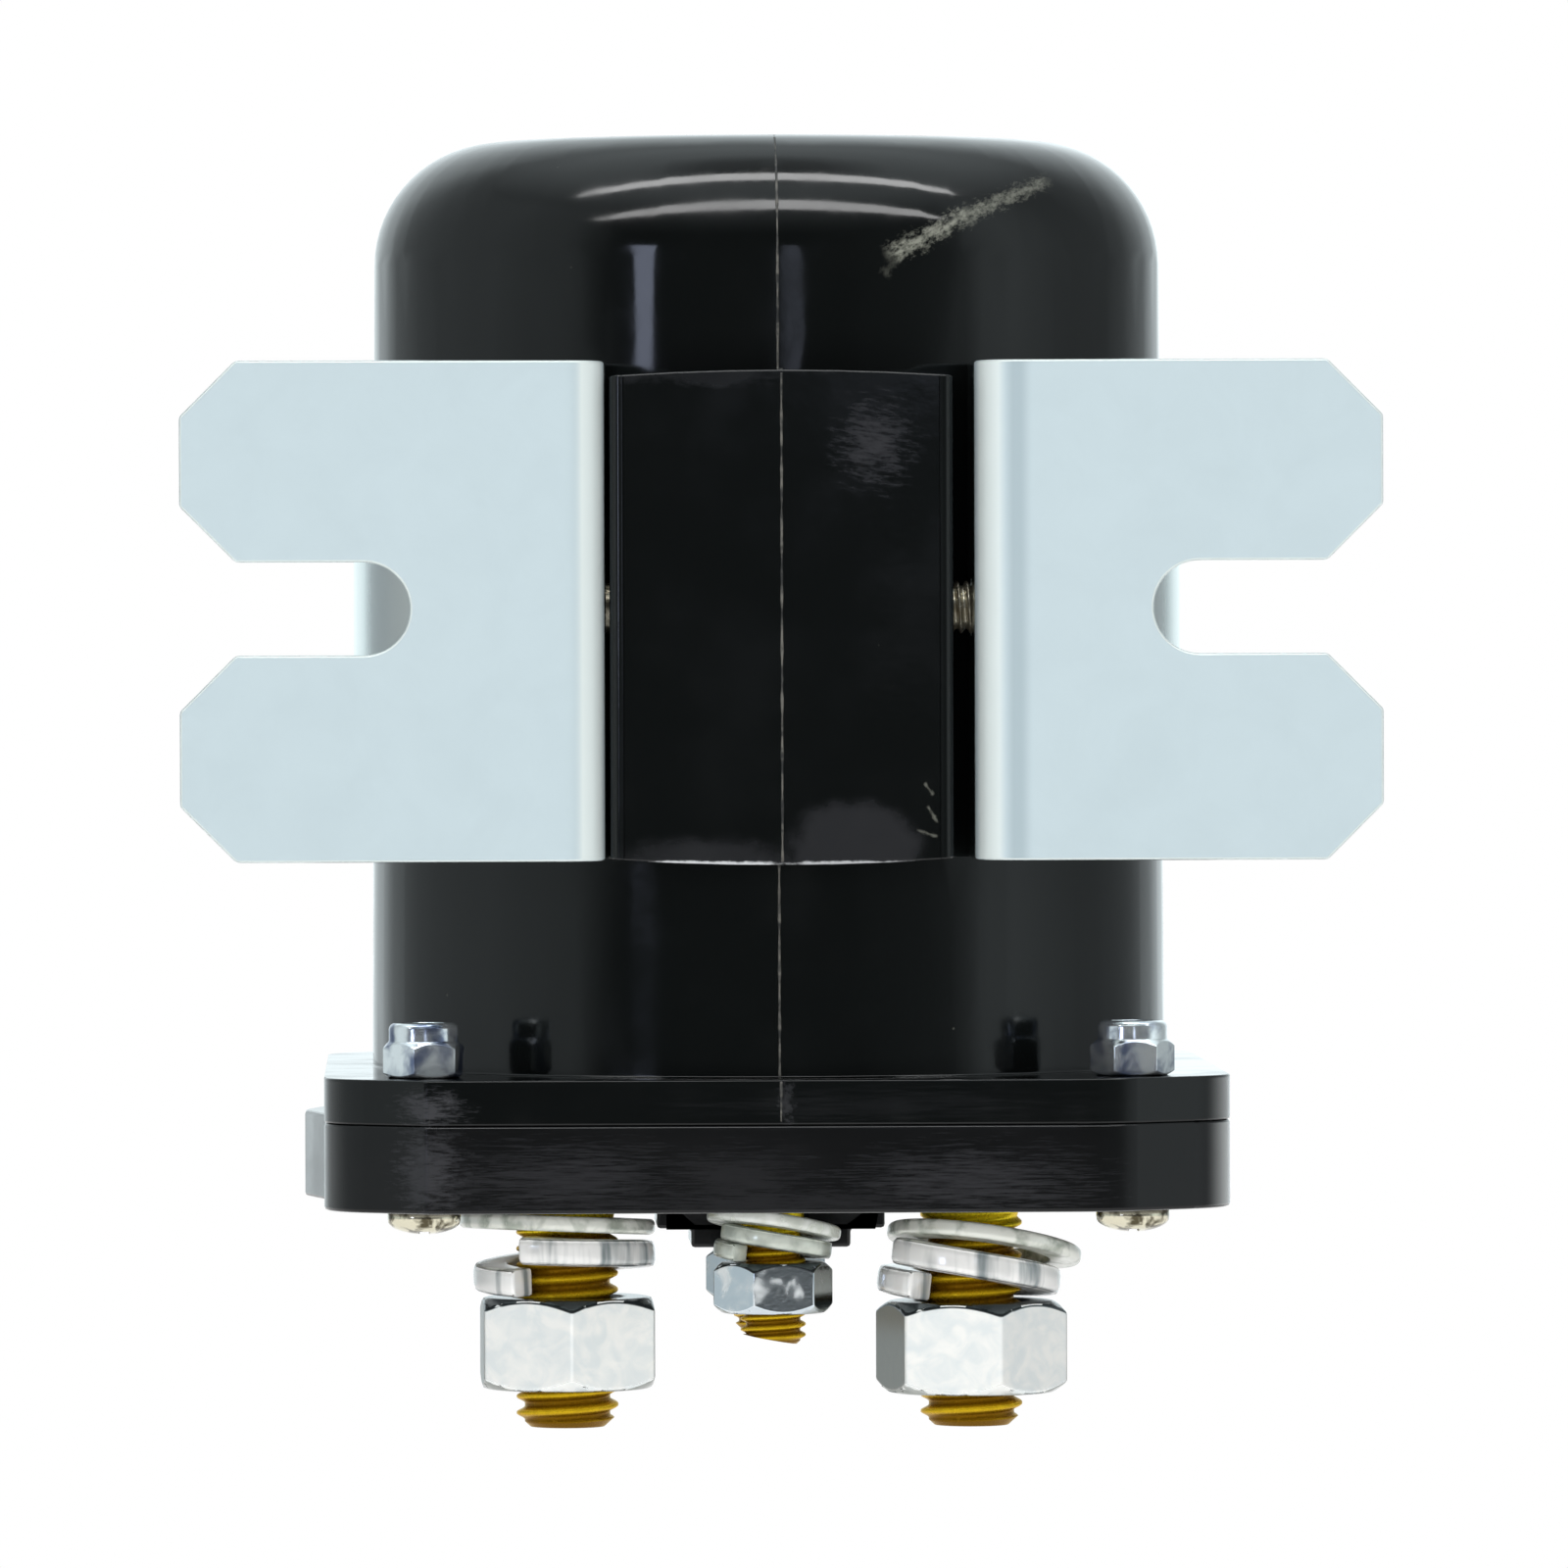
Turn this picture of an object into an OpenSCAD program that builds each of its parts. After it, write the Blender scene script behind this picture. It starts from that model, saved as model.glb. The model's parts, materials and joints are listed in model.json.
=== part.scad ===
// Solenoid relay: a moulded round housing in a wrapped steel strap, with its
// coil, plunger and contact disc inside and its terminal studs underneath.
// +Z is up, and the outer face of the two mounting ears is the plane Y = 0.
// The origin is halfway between the mounting slots. The body stands behind it.

/* [Moulded housing] */
// Diameter of the round body where it meets the flange
body_d = 60.3; // [59:0.1:61.5]
// Height of the body from the flange seam to the top of the dome
body_h = 73.4; // [71.5:0.1:76]
// Draft of the body's wall in degrees
body_draft = 0.28; // [0:0.05:0.6]
// Radius of the rounded edge of the dome
dome_r = 9.3; // [7:0.1:12]
// Wall of the body
wall_t = 2.75; // [2.2:0.05:3.2]
// Distance from the axis of a corner screw to the sides of the flange
screw_edge = 7.4; // [6.9:0.05:8.7]
// Thickness of the flange
flange_t = 3.35; // [2.5:0.05:4.5]
// Width of the two cut corners on the left
corner_left = 7.6; // [6.8:0.1:8.6]
// Width of the two cut corners on the right
corner_right = 9.4; // [8.6:0.1:10.4]
// Angle that the cut corners are turned back by
corner_slant = 34; // [30:1:40]
// Radius between the cut corners and the sides of the flange
corner_side_r = 6.6; // [3:0.1:7.4]
// Radius between the left cut corners and the front and back
corner_left_r = 0.8; // [0.4:0.1:2]
// Radius between the right cut corners and the front and back
corner_right_r = 8.0; // [2:0.1:9]
// Number of ribs that centre the coil can
rib_count = 8; // [8:4:12]
// Thickness of each rib
rib_t = 2.2; // [1.6:0.1:2.8]

/* [Rear pad] */
// Width of the pad between the legs of the strap
pad_w = 25.0; // [23:0.1:27]
// Height of the pad on its parting line
pad_h = 36.3; // [34:0.1:38]
// How far the middle of the pad lies below the mounting slots
pad_drop = 0.7; // [0:0.1:1.5]
// How far the pad's top and bottom edges rise towards their middle
pad_crown = 0.42; // [0.1:0.02:0.7]
// How far the pad stands back from the mounting plane
pad_setback = 1.0; // [0.4:0.1:1.6]
// Radius on the upright edges of the pad
pad_edge = 0.8; // [0.4:0.1:1.5]

/* [Strap] */
// Distance from the mounting plane to the axis of the body
mount_depth = 40.0; // [39:0.1:43]
// Thickness of the strip
strap_t = 1.4; // [1.1:0.1:1.8]
// Height of the strip
strap_h = 36.7; // [34:0.1:40]
// How far the middle of the strip lies below the mounting slots
strap_drop = 0.2; // [0:0.1:1]
// Distance between the tips of the two ears
ear_span = 88.1; // [84:0.1:94]
// Width of each mounting slot
slot_w = 6.8; // [5:0.1:8]
// Distance between the round ends of the two slots, centre to centre
slot_pitch = 61.2; // [56:0.1:66]
// Size of the cut corners of the ears
ear_cut = 4.1; // [2:0.1:5]
// Inside radius of the bends between ears and legs
ear_bend_r = 1.6; // [1:0.1:2.2]
// Inside radius of the bends between legs and band
band_bend_r = 1.5; // [1:0.1:2.2]
// Gap between the pad and the left leg
leg_gap_left = 0.36; // [0.2:0.02:1]
// Gap between the pad and the right leg
leg_gap_right = 1.6; // [0.6:0.1:2]
// Clearance between the band and the body
band_clear = 0.05; // [0.02:0.01:0.3]

/* [Cross bolt] */
// Diameter of the bolt through the legs and the pad
cross_d = 3.9; // [3:0.1:4.4]
// Radial clearance of the bolt in its holes
cross_play = 0.25; // [0.1:0.05:0.4]
// Width across the flats of its head and nut
cross_af = 7.0; // [6:0.1:7.2]
// Height of its head
cross_head_h = 2.8; // [2:0.1:3.5]
// Height of its nut
cross_nut_h = 3.2; // [2.4:0.1:4]
// Diameter of its washer
cross_washer_d = 7.8; // [7:0.1:8]
// Thickness of its washer
cross_washer_t = 0.8; // [0.5:0.1:1.2]
// Length of thread beyond its nut
cross_tail = 1.6; // [0.5:0.1:4]

/* [Terminal cap] */
// Distance from the mounting slots down to the seam
slot_to_seam = 38.1; // [37:0.1:41]
// Thickness of the cap
cap_t = 6.5; // [6:0.1:8]
// Thickness of the cap's floor under the stud heads
cap_floor = 3.0; // [2.2:0.1:3.4]
// Wall of the ring that stands up inside the housing
spigot_wall = 2.4; // [1.8:0.1:3]
// Clearance between the ring and the housing
spigot_clear = 0.2; // [0.1:0.05:0.4]
// Width of the wide step of the barrier between the coil studs
barrier_base_w = 17.3; // [16:0.1:18]
// Height of the wide step
barrier_base_h = 2.45; // [1.5:0.05:3.2]
// Width of the narrow step
barrier_w = 12.1; // [9:0.1:13]
// Height of the narrow step
barrier_h = 3.9; // [3.4:0.1:5.5]
// Thickness of the barrier from front to back
barrier_t = 10.0; // [8.5:0.1:10.4]
// Width of the grooves beside the narrow step
barrier_groove = 0.6; // [0.4:0.1:0.8]
// Length of the tab on the left side of the cap
tab_l = 18.0; // [16.5:0.5:22]
// How far the tab stands out
tab_out = 1.6; // [1:0.1:2.4]
// Length of the slope at each end of the tab
tab_ramp = 7.5; // [4:0.1:8]

/* [Power terminals] */
// Distance between the two power studs
power_pitch = 30.8; // [30:0.1:32]
// Diameter of a power stud over its thread
power_d = 7.8; // [7:0.1:8]
// Length of a power stud below the cap
power_out = 17.7; // [16.8:0.1:22]
// Diameter of its head inside the cap
power_head_d = 15.0; // [14:0.1:15.4]
// Thickness of its head
power_head_t = 3.0; // [2.4:0.1:3.4]
// Width across the two flats of its head
power_head_af = 12.0; // [11:0.1:12.6]
// Diameter of its flat washer
power_washer_d = 14.9; // [14:0.1:15.2]
// Hole of its flat washer
power_washer_hole = 10.2; // [9.8:0.1:10.6]
// Thickness of its flat washer
power_washer_t = 1.2; // [1:0.1:1.4]
// Diameter of its spring washer
power_spring_d = 13.9; // [13:0.1:14.2]
// Radial width of the spring washer's section
power_spring_w = 2.7; // [2.2:0.1:2.8]
// Thickness of the spring washer's section
power_spring_t = 2.1; // [1.7:0.1:2.2]
// How far the ends of the spring washer stand apart
power_spring_rise = 2.5; // [2.4:0.1:2.7]
// Width across the flats of its nut
power_nut_af = 13.0; // [12:0.1:13.4]
// Height of its nut
power_nut_h = 7.0; // [5.5:0.1:7.2]
// Distance from the cap down to the top of its nut
power_nut_drop = 7.8; // [7.7:0.05:8.4]

/* [Coil terminals] */
// Distance between the two coil studs
coil_pitch = 21.0; // [20.8:0.1:22]
// Diameter of a coil stud over its thread
coil_d = 4.95; // [4.4:0.05:5.05]
// Length of a coil stud below the cap
coil_out = 11.1; // [10:0.1:14]
// Slope of the snipped end of the front coil stud in degrees
snip_angle = 10.5; // [0:0.5:12]
// Width across the flats of its head inside the cap
coil_head_af = 7.8; // [7:0.1:8]
// Thickness of its head
coil_head_t = 2.0; // [1.5:0.1:2.4]
// Diameter of its flat washer
coil_washer_d = 10.2; // [9:0.1:10.4]
// Hole of its flat washer
coil_washer_hole = 5.9; // [5.7:0.1:6.2]
// Thickness of its flat washer
coil_washer_t = 1.0; // [0.8:0.1:1.1]
// Diameter of its spring washer
coil_spring_d = 8.9; // [8.4:0.1:9]
// Radial width of the spring washer's section
coil_spring_w = 1.7; // [1.3:0.1:1.75]
// Thickness of the spring washer's section
coil_spring_t = 1.3; // [1.1:0.05:1.35]
// How far the ends of the spring washer stand apart
coil_spring_rise = 1.5; // [1.45:0.05:1.6]
// Width across the flats of its nut
coil_nut_af = 8.0; // [7.5:0.1:8.4]
// Height of its nut
coil_nut_h = 3.85; // [3.2:0.05:4]
// Distance from the cap down to the top of its nut
coil_nut_drop = 4.7; // [4.6:0.05:4.9]

/* [Corner screws] */
// Distance between neighbouring corner screws
screw_pitch = 52.6; // [52.2:0.1:53]
// Diameter of a screw over its thread
screw_d = 2.95; // [2.6:0.05:3.05]
// Radial clearance of a screw in its holes
screw_play = 0.2; // [0.1:0.05:0.3]
// Diameter of a screw's head
screw_head_d = 5.5; // [5:0.1:5.8]
// Height of a screw's head
screw_head_h = 1.8; // [1.5:0.1:2.2]
// Width across the flats of a lock nut
lock_nut_af = 5.5; // [5:0.1:5.6]
// Height of a lock nut with its collar
lock_nut_h = 4.05; // [3.6:0.05:4.6]
// Height of the nylon ring in a lock nut
insert_h = 1.1; // [0.8:0.1:1.3]

/* [Coil and magnet] */
// Height of the contact chamber from the seam to the pole plate
chamber_h = 11.9; // [11.4:0.1:13]
// Thickness of the pole plate
plate_t = 3.0; // [2:0.1:4]
// Outer radius of the steel can round the coil
can_r = 21.0; // [20:0.1:21.4]
// Wall of the can
can_t = 1.5; // [1:0.1:2]
// Room between the can and the ceiling of the housing
can_room = 9.95; // [8.75:0.05:12]
// Thickness of the bobbin's flanges
bobbin_flange_t = 1.6; // [1.2:0.1:2.2]
// Wall of the bobbin's barrel
bobbin_wall = 1.3; // [1:0.1:1.8]
// Outer radius of the winding
winding_r = 18.3; // [14:0.1:18.4]
// Bore radius of the brass guide tube
guide_r = 7.0; // [6:0.1:7.6]
// Wall of the guide tube
guide_t = 0.5; // [0.4:0.1:0.8]
// Height of the fixed core above the pole plate
core_h = 15.2; // [13:0.1:17]
// Depth of the spring pocket in the fixed core
core_pocket = 9.0; // [7:0.1:10]
// Diameter of the coil leads
lead_d = 1.0; // [0.8:0.1:1.4]

/* [Plunger and contacts] */
// How far the plunger stands out above the can at rest
plunger_tail = 5.4; // [1:0.1:6]
// Radial clearance of the plunger in its tube
plunger_clear = 0.08; // [0.05:0.01:0.1]
// Radius of the push rod
rod_r = 1.6; // [1.4:0.05:1.8]
// Radial clearance of the push rod in its guides
rod_clear = 0.08; // [0.05:0.01:0.1]
// Travel of the contact disc down to the stud heads
disc_travel = 3.0; // [2.6:0.1:3.2]
// Further travel of the plunger once the disc is down
over_travel = 1.0; // [0.8:0.1:1.1]
// Gap left between closed disc and stud heads
closed_gap = 0.1; // [0.05:0.05:0.2]
// Radius of the contact disc
disc_r = 19.0; // [17:0.1:20]
// Thickness of the contact disc
disc_t = 1.6; // [1.2:0.1:1.8]
// Radius of the insulating washers on both sides of the disc
insulator_r = 5.5; // [5:0.1:5.8]
// Thickness of the insulating washers
insulator_t = 1.0; // [0.8:0.1:1.1]
// Wall of the bush that passes through the disc
bush_wall = 1.1; // [0.8:0.1:1.4]
// Thickness of the collar that carries the contact spring
collar_t = 1.2; // [1:0.1:1.4]
// Thickness of the retaining clip
clip_t = 0.6; // [0.5:0.1:0.7]
// Wire of the return spring
return_wire = 0.8; // [0.6:0.05:0.9]
// Mean radius of the return spring
return_r = 3.5; // [3.2:0.05:3.7]
// Wire of the contact spring
contact_wire = 0.9; // [0.7:0.05:1]
// Mean radius of the contact spring
contact_r = 4.1; // [3.8:0.05:4.3]

/* [Hidden] */
$fn = 64;
eps = 0.01;
join_gap = 0.002;

// Heights of the housing and the cap
seam_z = -slot_to_seam;
flange_top = seam_z + flange_t;
dome_top = seam_z + body_h;
cap_bottom = seam_z - cap_t;
floor_z = cap_bottom + cap_floor;
fillet_z = dome_top - dome_r;

// Radii of the housing
body_r = body_d / 2;
body_top_r = body_r - (fillet_z - seam_z) * tan(body_draft);
bore_r = body_r - wall_t - (fillet_z - seam_z) * tan(body_draft);
spigot_r = bore_r - spigot_clear;
spigot_in = spigot_r - spigot_wall;

// Strap
strap_top = strap_h / 2 - strap_drop;
strap_bottom = -strap_h / 2 - strap_drop;
band_in = body_r - (strap_bottom - seam_z) * tan(body_draft) + band_clear;
band_out = band_in + strap_t;
cross_y = ((strap_t + ear_bend_r) + bend_y(pad_w / 2 + leg_gap_left)) / 2;
join_angle = 0.1;
cross_hole_r = cross_d / 2 + cross_play;

// Pole plate and coil
plate_bottom = seam_z + chamber_h;
plate_top = plate_bottom + plate_t;
can_h = body_h - wall_t - chamber_h - plate_t - can_room;
can_top = plate_top + can_h;
can_in = can_r - can_t;
can_clear = 0.15;
guide_out = guide_r + guide_t;
coil_clear = 0.1;
barrel_in = guide_out + coil_clear;
barrel_out = barrel_in + bobbin_wall;
bobbin_top = can_top - can_t - coil_clear;
bobbin_r = can_in - coil_clear;
core_top = plate_top + core_h;
core_r = guide_r - 0.05;
core_spigot_r = 5.0;
pocket_r = 4.6;

// Moving parts, in their rest position
travel = disc_travel + over_travel;
pole_gap = 0.2;
plunger_bottom = core_top + travel + pole_gap;
plunger_l = can_top + plunger_tail - plunger_bottom;
plunger_r = guide_r - plunger_clear;
head_top = floor_z + power_head_t;
disc_bottom = head_top + closed_gap + disc_travel;
disc_top = disc_bottom + disc_t;
bush_top = disc_top + insulator_t;
stop_gap = 0.1;
collar_top = plate_bottom - stop_gap;
collar_bottom = collar_top - collar_t;
washer_bottom = disc_bottom - insulator_t;
clip_bottom = washer_bottom - clip_t;
rod_tail = 0.9;
rod_bottom = clip_bottom - rod_tail;
rod_grip = 12;
rod_top = plunger_bottom + rod_grip;
bush_r = rod_r + rod_clear + bush_wall;
clip_r = rod_r + 1.3;

// Terminals
head_side_gap = 0.2;
head_rib_l = 0.53 * power_head_d;
head_rib_t = 0.4 * cap_floor;
head_rib_h = 0.73 * power_head_t;
head_rib_y = power_head_af / 2 + head_side_gap + head_rib_t / 2;
stud_play = 0.2;
thread_play = 0.05;
lead_y = (can_r + spigot_in) / 2;
lead_gap = 0.1;
power_nut_z = cap_bottom - power_nut_drop;
coil_nut_z = cap_bottom - coil_nut_drop;
right_nut_back_off = 0.06 * power_nut_h;
insert_r = 0.36 * lock_nut_af;
insert_z = flange_top + lock_nut_h - 0.4 - insert_h;

// Width of the square flange
flange_w = screw_pitch + 2 * screw_edge;

// How each loose flat washer hangs on its spring washer: [shift in X as a share of its play
// on the stud, lift as a share of its thickness, right side down in degrees, near side up]
flat_left = [-0.625, 0.04, 2.3, 2.4];
flat_right = [0.833, -0.417, 8.4, 10];
flat_front = [0.15, -0.245, 8.9, 7];
flat_rear = [0, 0.05, 3, -2];

// How each spring washer lies on its nut: [lift as a share of its thickness, right side down
// in degrees, near side up, angle of its upper end, angle from there to its lower end, shift
// in X as a share of its play on the stud]
split_left = [0.143, -2, 0, 239, 356, -0.62];
split_right = [-0.195, 6.5, 3, 205, 383, -0.4];
split_front = [-0.188, 6.5, 1.5, 201, 386, 0];
split_rear = [0.04, 1, -1, 60, 356, 0];

// How far each nut is turned, in degrees
power_nut_turn = [32, 45.5];
coil_nut_turn = [10.3, 0];
lock_nut_turn = [[-103, 20], [2, 41]];

// Y of the bend between leg and band, for a leg whose inner face is at x
function bend_y(x) = mount_depth - sqrt(pow(band_out + band_bend_r, 2)
                                        - pow(x + strap_t + band_bend_r, 2));

// Point at radius r and angle a
function polar(r, a) = [r * cos(a), r * sin(a)];

// Unit vector from one point to another
function toward(p, q) = (q - p) / norm(q - p);

// Half of the angle at a corner, from the unit vectors along its two edges
function half_angle(u, v) = acos(u * v) / 2;

// Area of a convex polygon, each corner rounded by its own radius with a true arc. The arc
// starts a hair inside the straight edges, so that it crosses the chord of its corner cleanly
module rounded_polygon(points, radii) {
    n = len(points);
    corners = [
        for (i = [0 : n - 1])
            let (
                p = points[i],
                u = toward(p, points[(i + n - 1) % n]),
                v = toward(p, points[(i + 1) % n]),
                h = half_angle(u, v),
                r = radii[i],
                cut = r / tan(h)
            )
            [p + u * cut, p + v * cut, p + toward([0, 0], u + v) * r / sin(h), r]
    ];
    polygon([for (c = corners) each [c[0], c[1]]]);
    for (c = corners) translate(c[2]) circle(r = c[3] - join_gap);
}

// Part of a flat ring between two angles less than 180 degrees apart
module ring_sector(r_in, r_out, a0, a1) {
    reach = 2 * r_out;
    intersection() {
        difference() {
            circle(r = r_out);
            circle(r = r_in);
        }
        polygon([[0, 0], polar(reach, a0), polar(reach, (a0 + a1) / 2), polar(reach, a1)]);
    }
}

// Move from the origin of the part to the axis of the body
module on_axis() {
    translate([0, mount_depth, 0]) children();
}

// Disc with a hole, standing on height z
module collar_ring(r_out, r_in, z, h) {
    translate([0, 0, z])
        difference() {
            cylinder(r = r_out, h = h);
            translate([0, 0, -eps]) cylinder(r = r_in, h = h + 2 * eps);
        }
}

// Solid through a list of rings of points, closed at both ends
module sweep_rings(rings) {
    m = len(rings[0]);
    n = len(rings);
    polyhedron(
        points = [for (ring = rings) each ring],
        faces = [
            [for (j = [0 : m - 1]) j],
            for (i = [0 : n - 2], j = [0 : m - 1])
                each [
                    [i * m + j, (i + 1) * m + j, i * m + (j + 1) % m],
                    [(i + 1) * m + j, (i + 1) * m + (j + 1) % m, i * m + (j + 1) % m]
                ],
            [for (j = [m - 1 : -1 : 0]) (n - 1) * m + j]
        ]
    );
}

// Share of a spring's height at the share u of its turns. Its end turns lie close
function spring_rise(u) = u - 0.8 * sin(360 * u) / (2 * PI);

// Compression spring with flattened end turns, standing on height z
module coil_spring(mean_r, wire, z, length, turns) {
    sides = 6;
    steps = 18;
    n = round(turns * steps);
    sweep_rings([
        for (i = [0 : n])
            let (a = 360 * i / steps, lift = z + wire / 2 + (length - wire) * spring_rise(i / n))
            [
                for (k = [0 : sides - 1])
                    let (r = mean_r + wire / 2 * cos(360 * k / sides))
                    [r * cos(a), r * sin(a), lift + wire / 2 * sin(360 * k / sides)]
            ]
    ]);
}

// Split washer of square wire, its middle at the origin. It falls as it turns to the left
module split_washer(outer_d, w, t, rise, start, turn) {
    steps = 50;
    corner = 0.15 * t;
    r_out = outer_d / 2;
    r_in = r_out - w;
    section = [
        [r_in, -t / 2], [r_out - corner, -t / 2], [r_out, -t / 2 + corner],
        [r_out, t / 2 - corner], [r_out - corner, t / 2], [r_in, t / 2]
    ];
    sweep_rings([
        for (i = [0 : steps])
            let (a = start + turn * i / steps, lift = rise * (0.5 - i / steps))
            [for (p = section) [p[0] * cos(a), p[0] * sin(a), p[1] + lift]]
    ]);
}

// Flat washer, its middle at the origin
module flat_washer(outer_d, hole_d, t) {
    corner = 0.2 * t;
    rotate_extrude()
        polygon([
            [hole_d / 2, -t / 2], [outer_d / 2 - corner, -t / 2], [outer_d / 2, -t / 2 + corner],
            [outer_d / 2, t / 2 - corner], [outer_d / 2 - corner, t / 2], [hole_d / 2, t / 2]
        ]);
}

// Hexagonal prism with both ends turned to a cone, hanging down from the origin
module hex_prism(af, h) {
    corner_r = af / 2 / cos(30);
    lift = (corner_r - af / 2) * tan(30);
    intersection() {
        translate([0, 0, -h]) cylinder(r = corner_r, h = h, $fn = 6);
        rotate_extrude()
            polygon([
                [0, 0], [af / 2 * 0.96, 0], [corner_r + eps, -lift - 0.3],
                [corner_r + eps, -h + lift + 0.3], [af / 2 * 0.96, -h], [0, -h]
            ]);
    }
}

// Hexagonal nut, hanging down from the origin
module hex_nut(af, h, hole_d) {
    sink = 0.06 * hole_d;
    difference() {
        hex_prism(af, h);
        translate([0, 0, -h - eps]) cylinder(d = hole_d, h = h + 2 * eps);
        translate([0, 0, -sink]) cylinder(r1 = hole_d / 2, r2 = hole_d / 2 + sink + eps, h = sink + eps);
        translate([0, 0, -h - eps])
            cylinder(r1 = hole_d / 2 + sink + eps, r2 = hole_d / 2, h = sink + eps);
    }
}

// Outline of the flange and the cap
module flange_outline() {
    half = flange_w / 2;
    left = -half + corner_left;
    right = half - corner_right;
    left_end = half - corner_left * tan(corner_slant);
    right_end = half - corner_right * tan(corner_slant);
    rounded_polygon([
        [-half, -left_end], [left, -half], [right, -half], [half, -right_end],
        [half, right_end], [right, half], [left, half], [-half, left_end]
    ], [
        corner_side_r, corner_left_r, corner_right_r, corner_side_r,
        corner_side_r, corner_right_r, corner_left_r, corner_side_r
    ]);
}

// Half section of a closed round shell's outside
module dome_section(base_r, top_r, base_z, top_z, edge_r) {
    polygon([
        [0, base_z], [base_r, base_z], [top_r, top_z - edge_r], [top_r - edge_r, top_z], [0, top_z]
    ]);
    translate([top_r - edge_r, top_z - edge_r]) circle(r = edge_r);
}

// Places of the four corner screws
module at_corners() {
    for (x = [-1, 1], y = [-1, 1])
        translate([x * screw_pitch / 2, y * screw_pitch / 2, 0]) children();
}

// Space inside the housing, its ribs left standing
module housing_cavity() {
    edge_r = max(dome_r - wall_t, 1);
    ceiling = dome_top - wall_t;
    arm_room = 6;
    arm_in = guide_out + arm_room;
    difference() {
        rotate_extrude() dome_section(bore_r, bore_r, seam_z - eps, ceiling, edge_r);
        for (i = [0 : rib_count - 1])
            rotate([0, 0, (i + 0.5) * 360 / rib_count]) {
                translate([can_r + can_clear, -rib_t / 2, plate_top])
                    cube([body_r - can_r, rib_t, dome_top - plate_top]);
                translate([arm_in, -rib_t / 2, can_top + can_clear])
                    cube([body_r - arm_in, rib_t, dome_top - can_top]);
            }
    }
}

// Raised pad between the legs of the strap, in the part's frame
module rear_pad() {
    half = pad_w / 2;
    top = pad_h / 2 - pad_drop;
    bottom = -pad_h / 2 - pad_drop;
    depth = mount_depth - pad_setback;
    crown_r = (half * half + pad_crown * pad_crown) / (2 * pad_crown);
    intersection() {
        translate([0, mount_depth, 0])
            rotate([90, 0, 0])
                linear_extrude(depth)
                    intersection() {
                        translate([0, top - crown_r]) circle(r = crown_r, $fn = 360);
                        translate([0, bottom + crown_r]) circle(r = crown_r, $fn = 360);
                        translate([-half, bottom]) square([pad_w, pad_h]);
                    }
        translate([0, 0, bottom])
            linear_extrude(top - bottom)
                rounded_polygon([
                    [-half, pad_setback], [half, pad_setback], [half, mount_depth], [-half, mount_depth]
                ], [pad_edge, pad_edge, pad_edge, pad_edge]);
    }
}

module housing() {
    color("#18191b")
        difference() {
            union() {
                on_axis() rotate_extrude()
                    intersection() {
                        dome_section(body_r, body_top_r, seam_z, dome_top, dome_r);
                        translate([0, seam_z]) square([body_r + 1, body_h]);
                    }
                on_axis() translate([0, 0, seam_z]) linear_extrude(flange_t) flange_outline();
                rear_pad();
            }
            on_axis() housing_cavity();
            on_axis() at_corners() translate([0, 0, seam_z - eps])
                cylinder(r = screw_d / 2 + screw_play, h = flange_t + 2 * eps);
            translate([-pad_w, cross_y, 0]) rotate([0, 90, 0])
                cylinder(r = cross_hole_r, h = 2 * pad_w);
        }
}

// Barrier between the coil studs, below the cap. Its wide step has a shallow groove
// beside the narrow one on both of its faces
module barrier() {
    groove_x = (barrier_w + barrier_base_w) / 4;
    groove_depth = 0.12 * barrier_t;
    groove_h = 0.92 * barrier_base_h;
    difference() {
        translate([-barrier_base_w / 2, -barrier_t / 2, cap_bottom - barrier_base_h])
            cube([barrier_base_w, barrier_t, barrier_base_h + eps]);
        for (side = [-1, 1], face = [0, 1])
            mirror([0, face, 0])
                translate([side * groove_x - barrier_groove / 2, -barrier_t, cap_bottom - groove_h])
                    cube([barrier_groove, barrier_t / 2 + groove_depth, groove_h + 2 * eps]);
    }
    translate([-barrier_w / 2, -barrier_t / 2, cap_bottom - barrier_h])
        cube([barrier_w, barrier_t, barrier_h + eps]);
}

module terminal_cap() {
    rod_room = 0.6;
    pocket_z = rod_bottom - travel - rod_room;
    pocket_play = 2;
    tab_root = 3;
    color("#151618") on_axis()
        difference() {
            union() {
                translate([0, 0, cap_bottom]) linear_extrude(cap_t) flange_outline();
                translate([0, 0, cap_bottom])
                    linear_extrude(cap_t)
                        polygon([
                            [-flange_w / 2 - tab_out, -tab_l / 2 + tab_ramp],
                            [-flange_w / 2, -tab_l / 2],
                            [-flange_w / 2 + tab_root, -tab_l / 2],
                            [-flange_w / 2 + tab_root, tab_l / 2],
                            [-flange_w / 2, tab_l / 2],
                            [-flange_w / 2 - tab_out, tab_l / 2 - tab_ramp]
                        ]);
                translate([0, 0, seam_z - eps]) cylinder(r = spigot_r, h = chamber_h + eps);
                barrier();
            }
            difference() {
                translate([0, 0, floor_z]) cylinder(r = spigot_in, h = cap_t + chamber_h);
                for (side = [-1, 1], edge = [-1, 1])
                    translate([side * power_pitch / 2, edge * head_rib_y, floor_z - eps])
                        translate([-head_rib_l / 2, -head_rib_t / 2, 0])
                            cube([head_rib_l, head_rib_t, head_rib_h]);
            }
            translate([0, 0, pocket_z]) cylinder(r = rod_r + pocket_play, h = cap_t);
            for (side = [-1, 1]) {
                translate([side * power_pitch / 2, 0, cap_bottom - eps])
                    cylinder(r = power_d / 2 + stud_play, h = cap_floor + 2 * eps);
                translate([0, side * coil_pitch / 2, cap_bottom - eps])
                    cylinder(r = coil_d / 2 + stud_play, h = cap_floor + 2 * eps);
            }
            at_corners() translate([0, 0, cap_bottom - eps])
                cylinder(r = screw_d / 2 + screw_play, h = cap_t + 2 * eps);
        }
}

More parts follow.
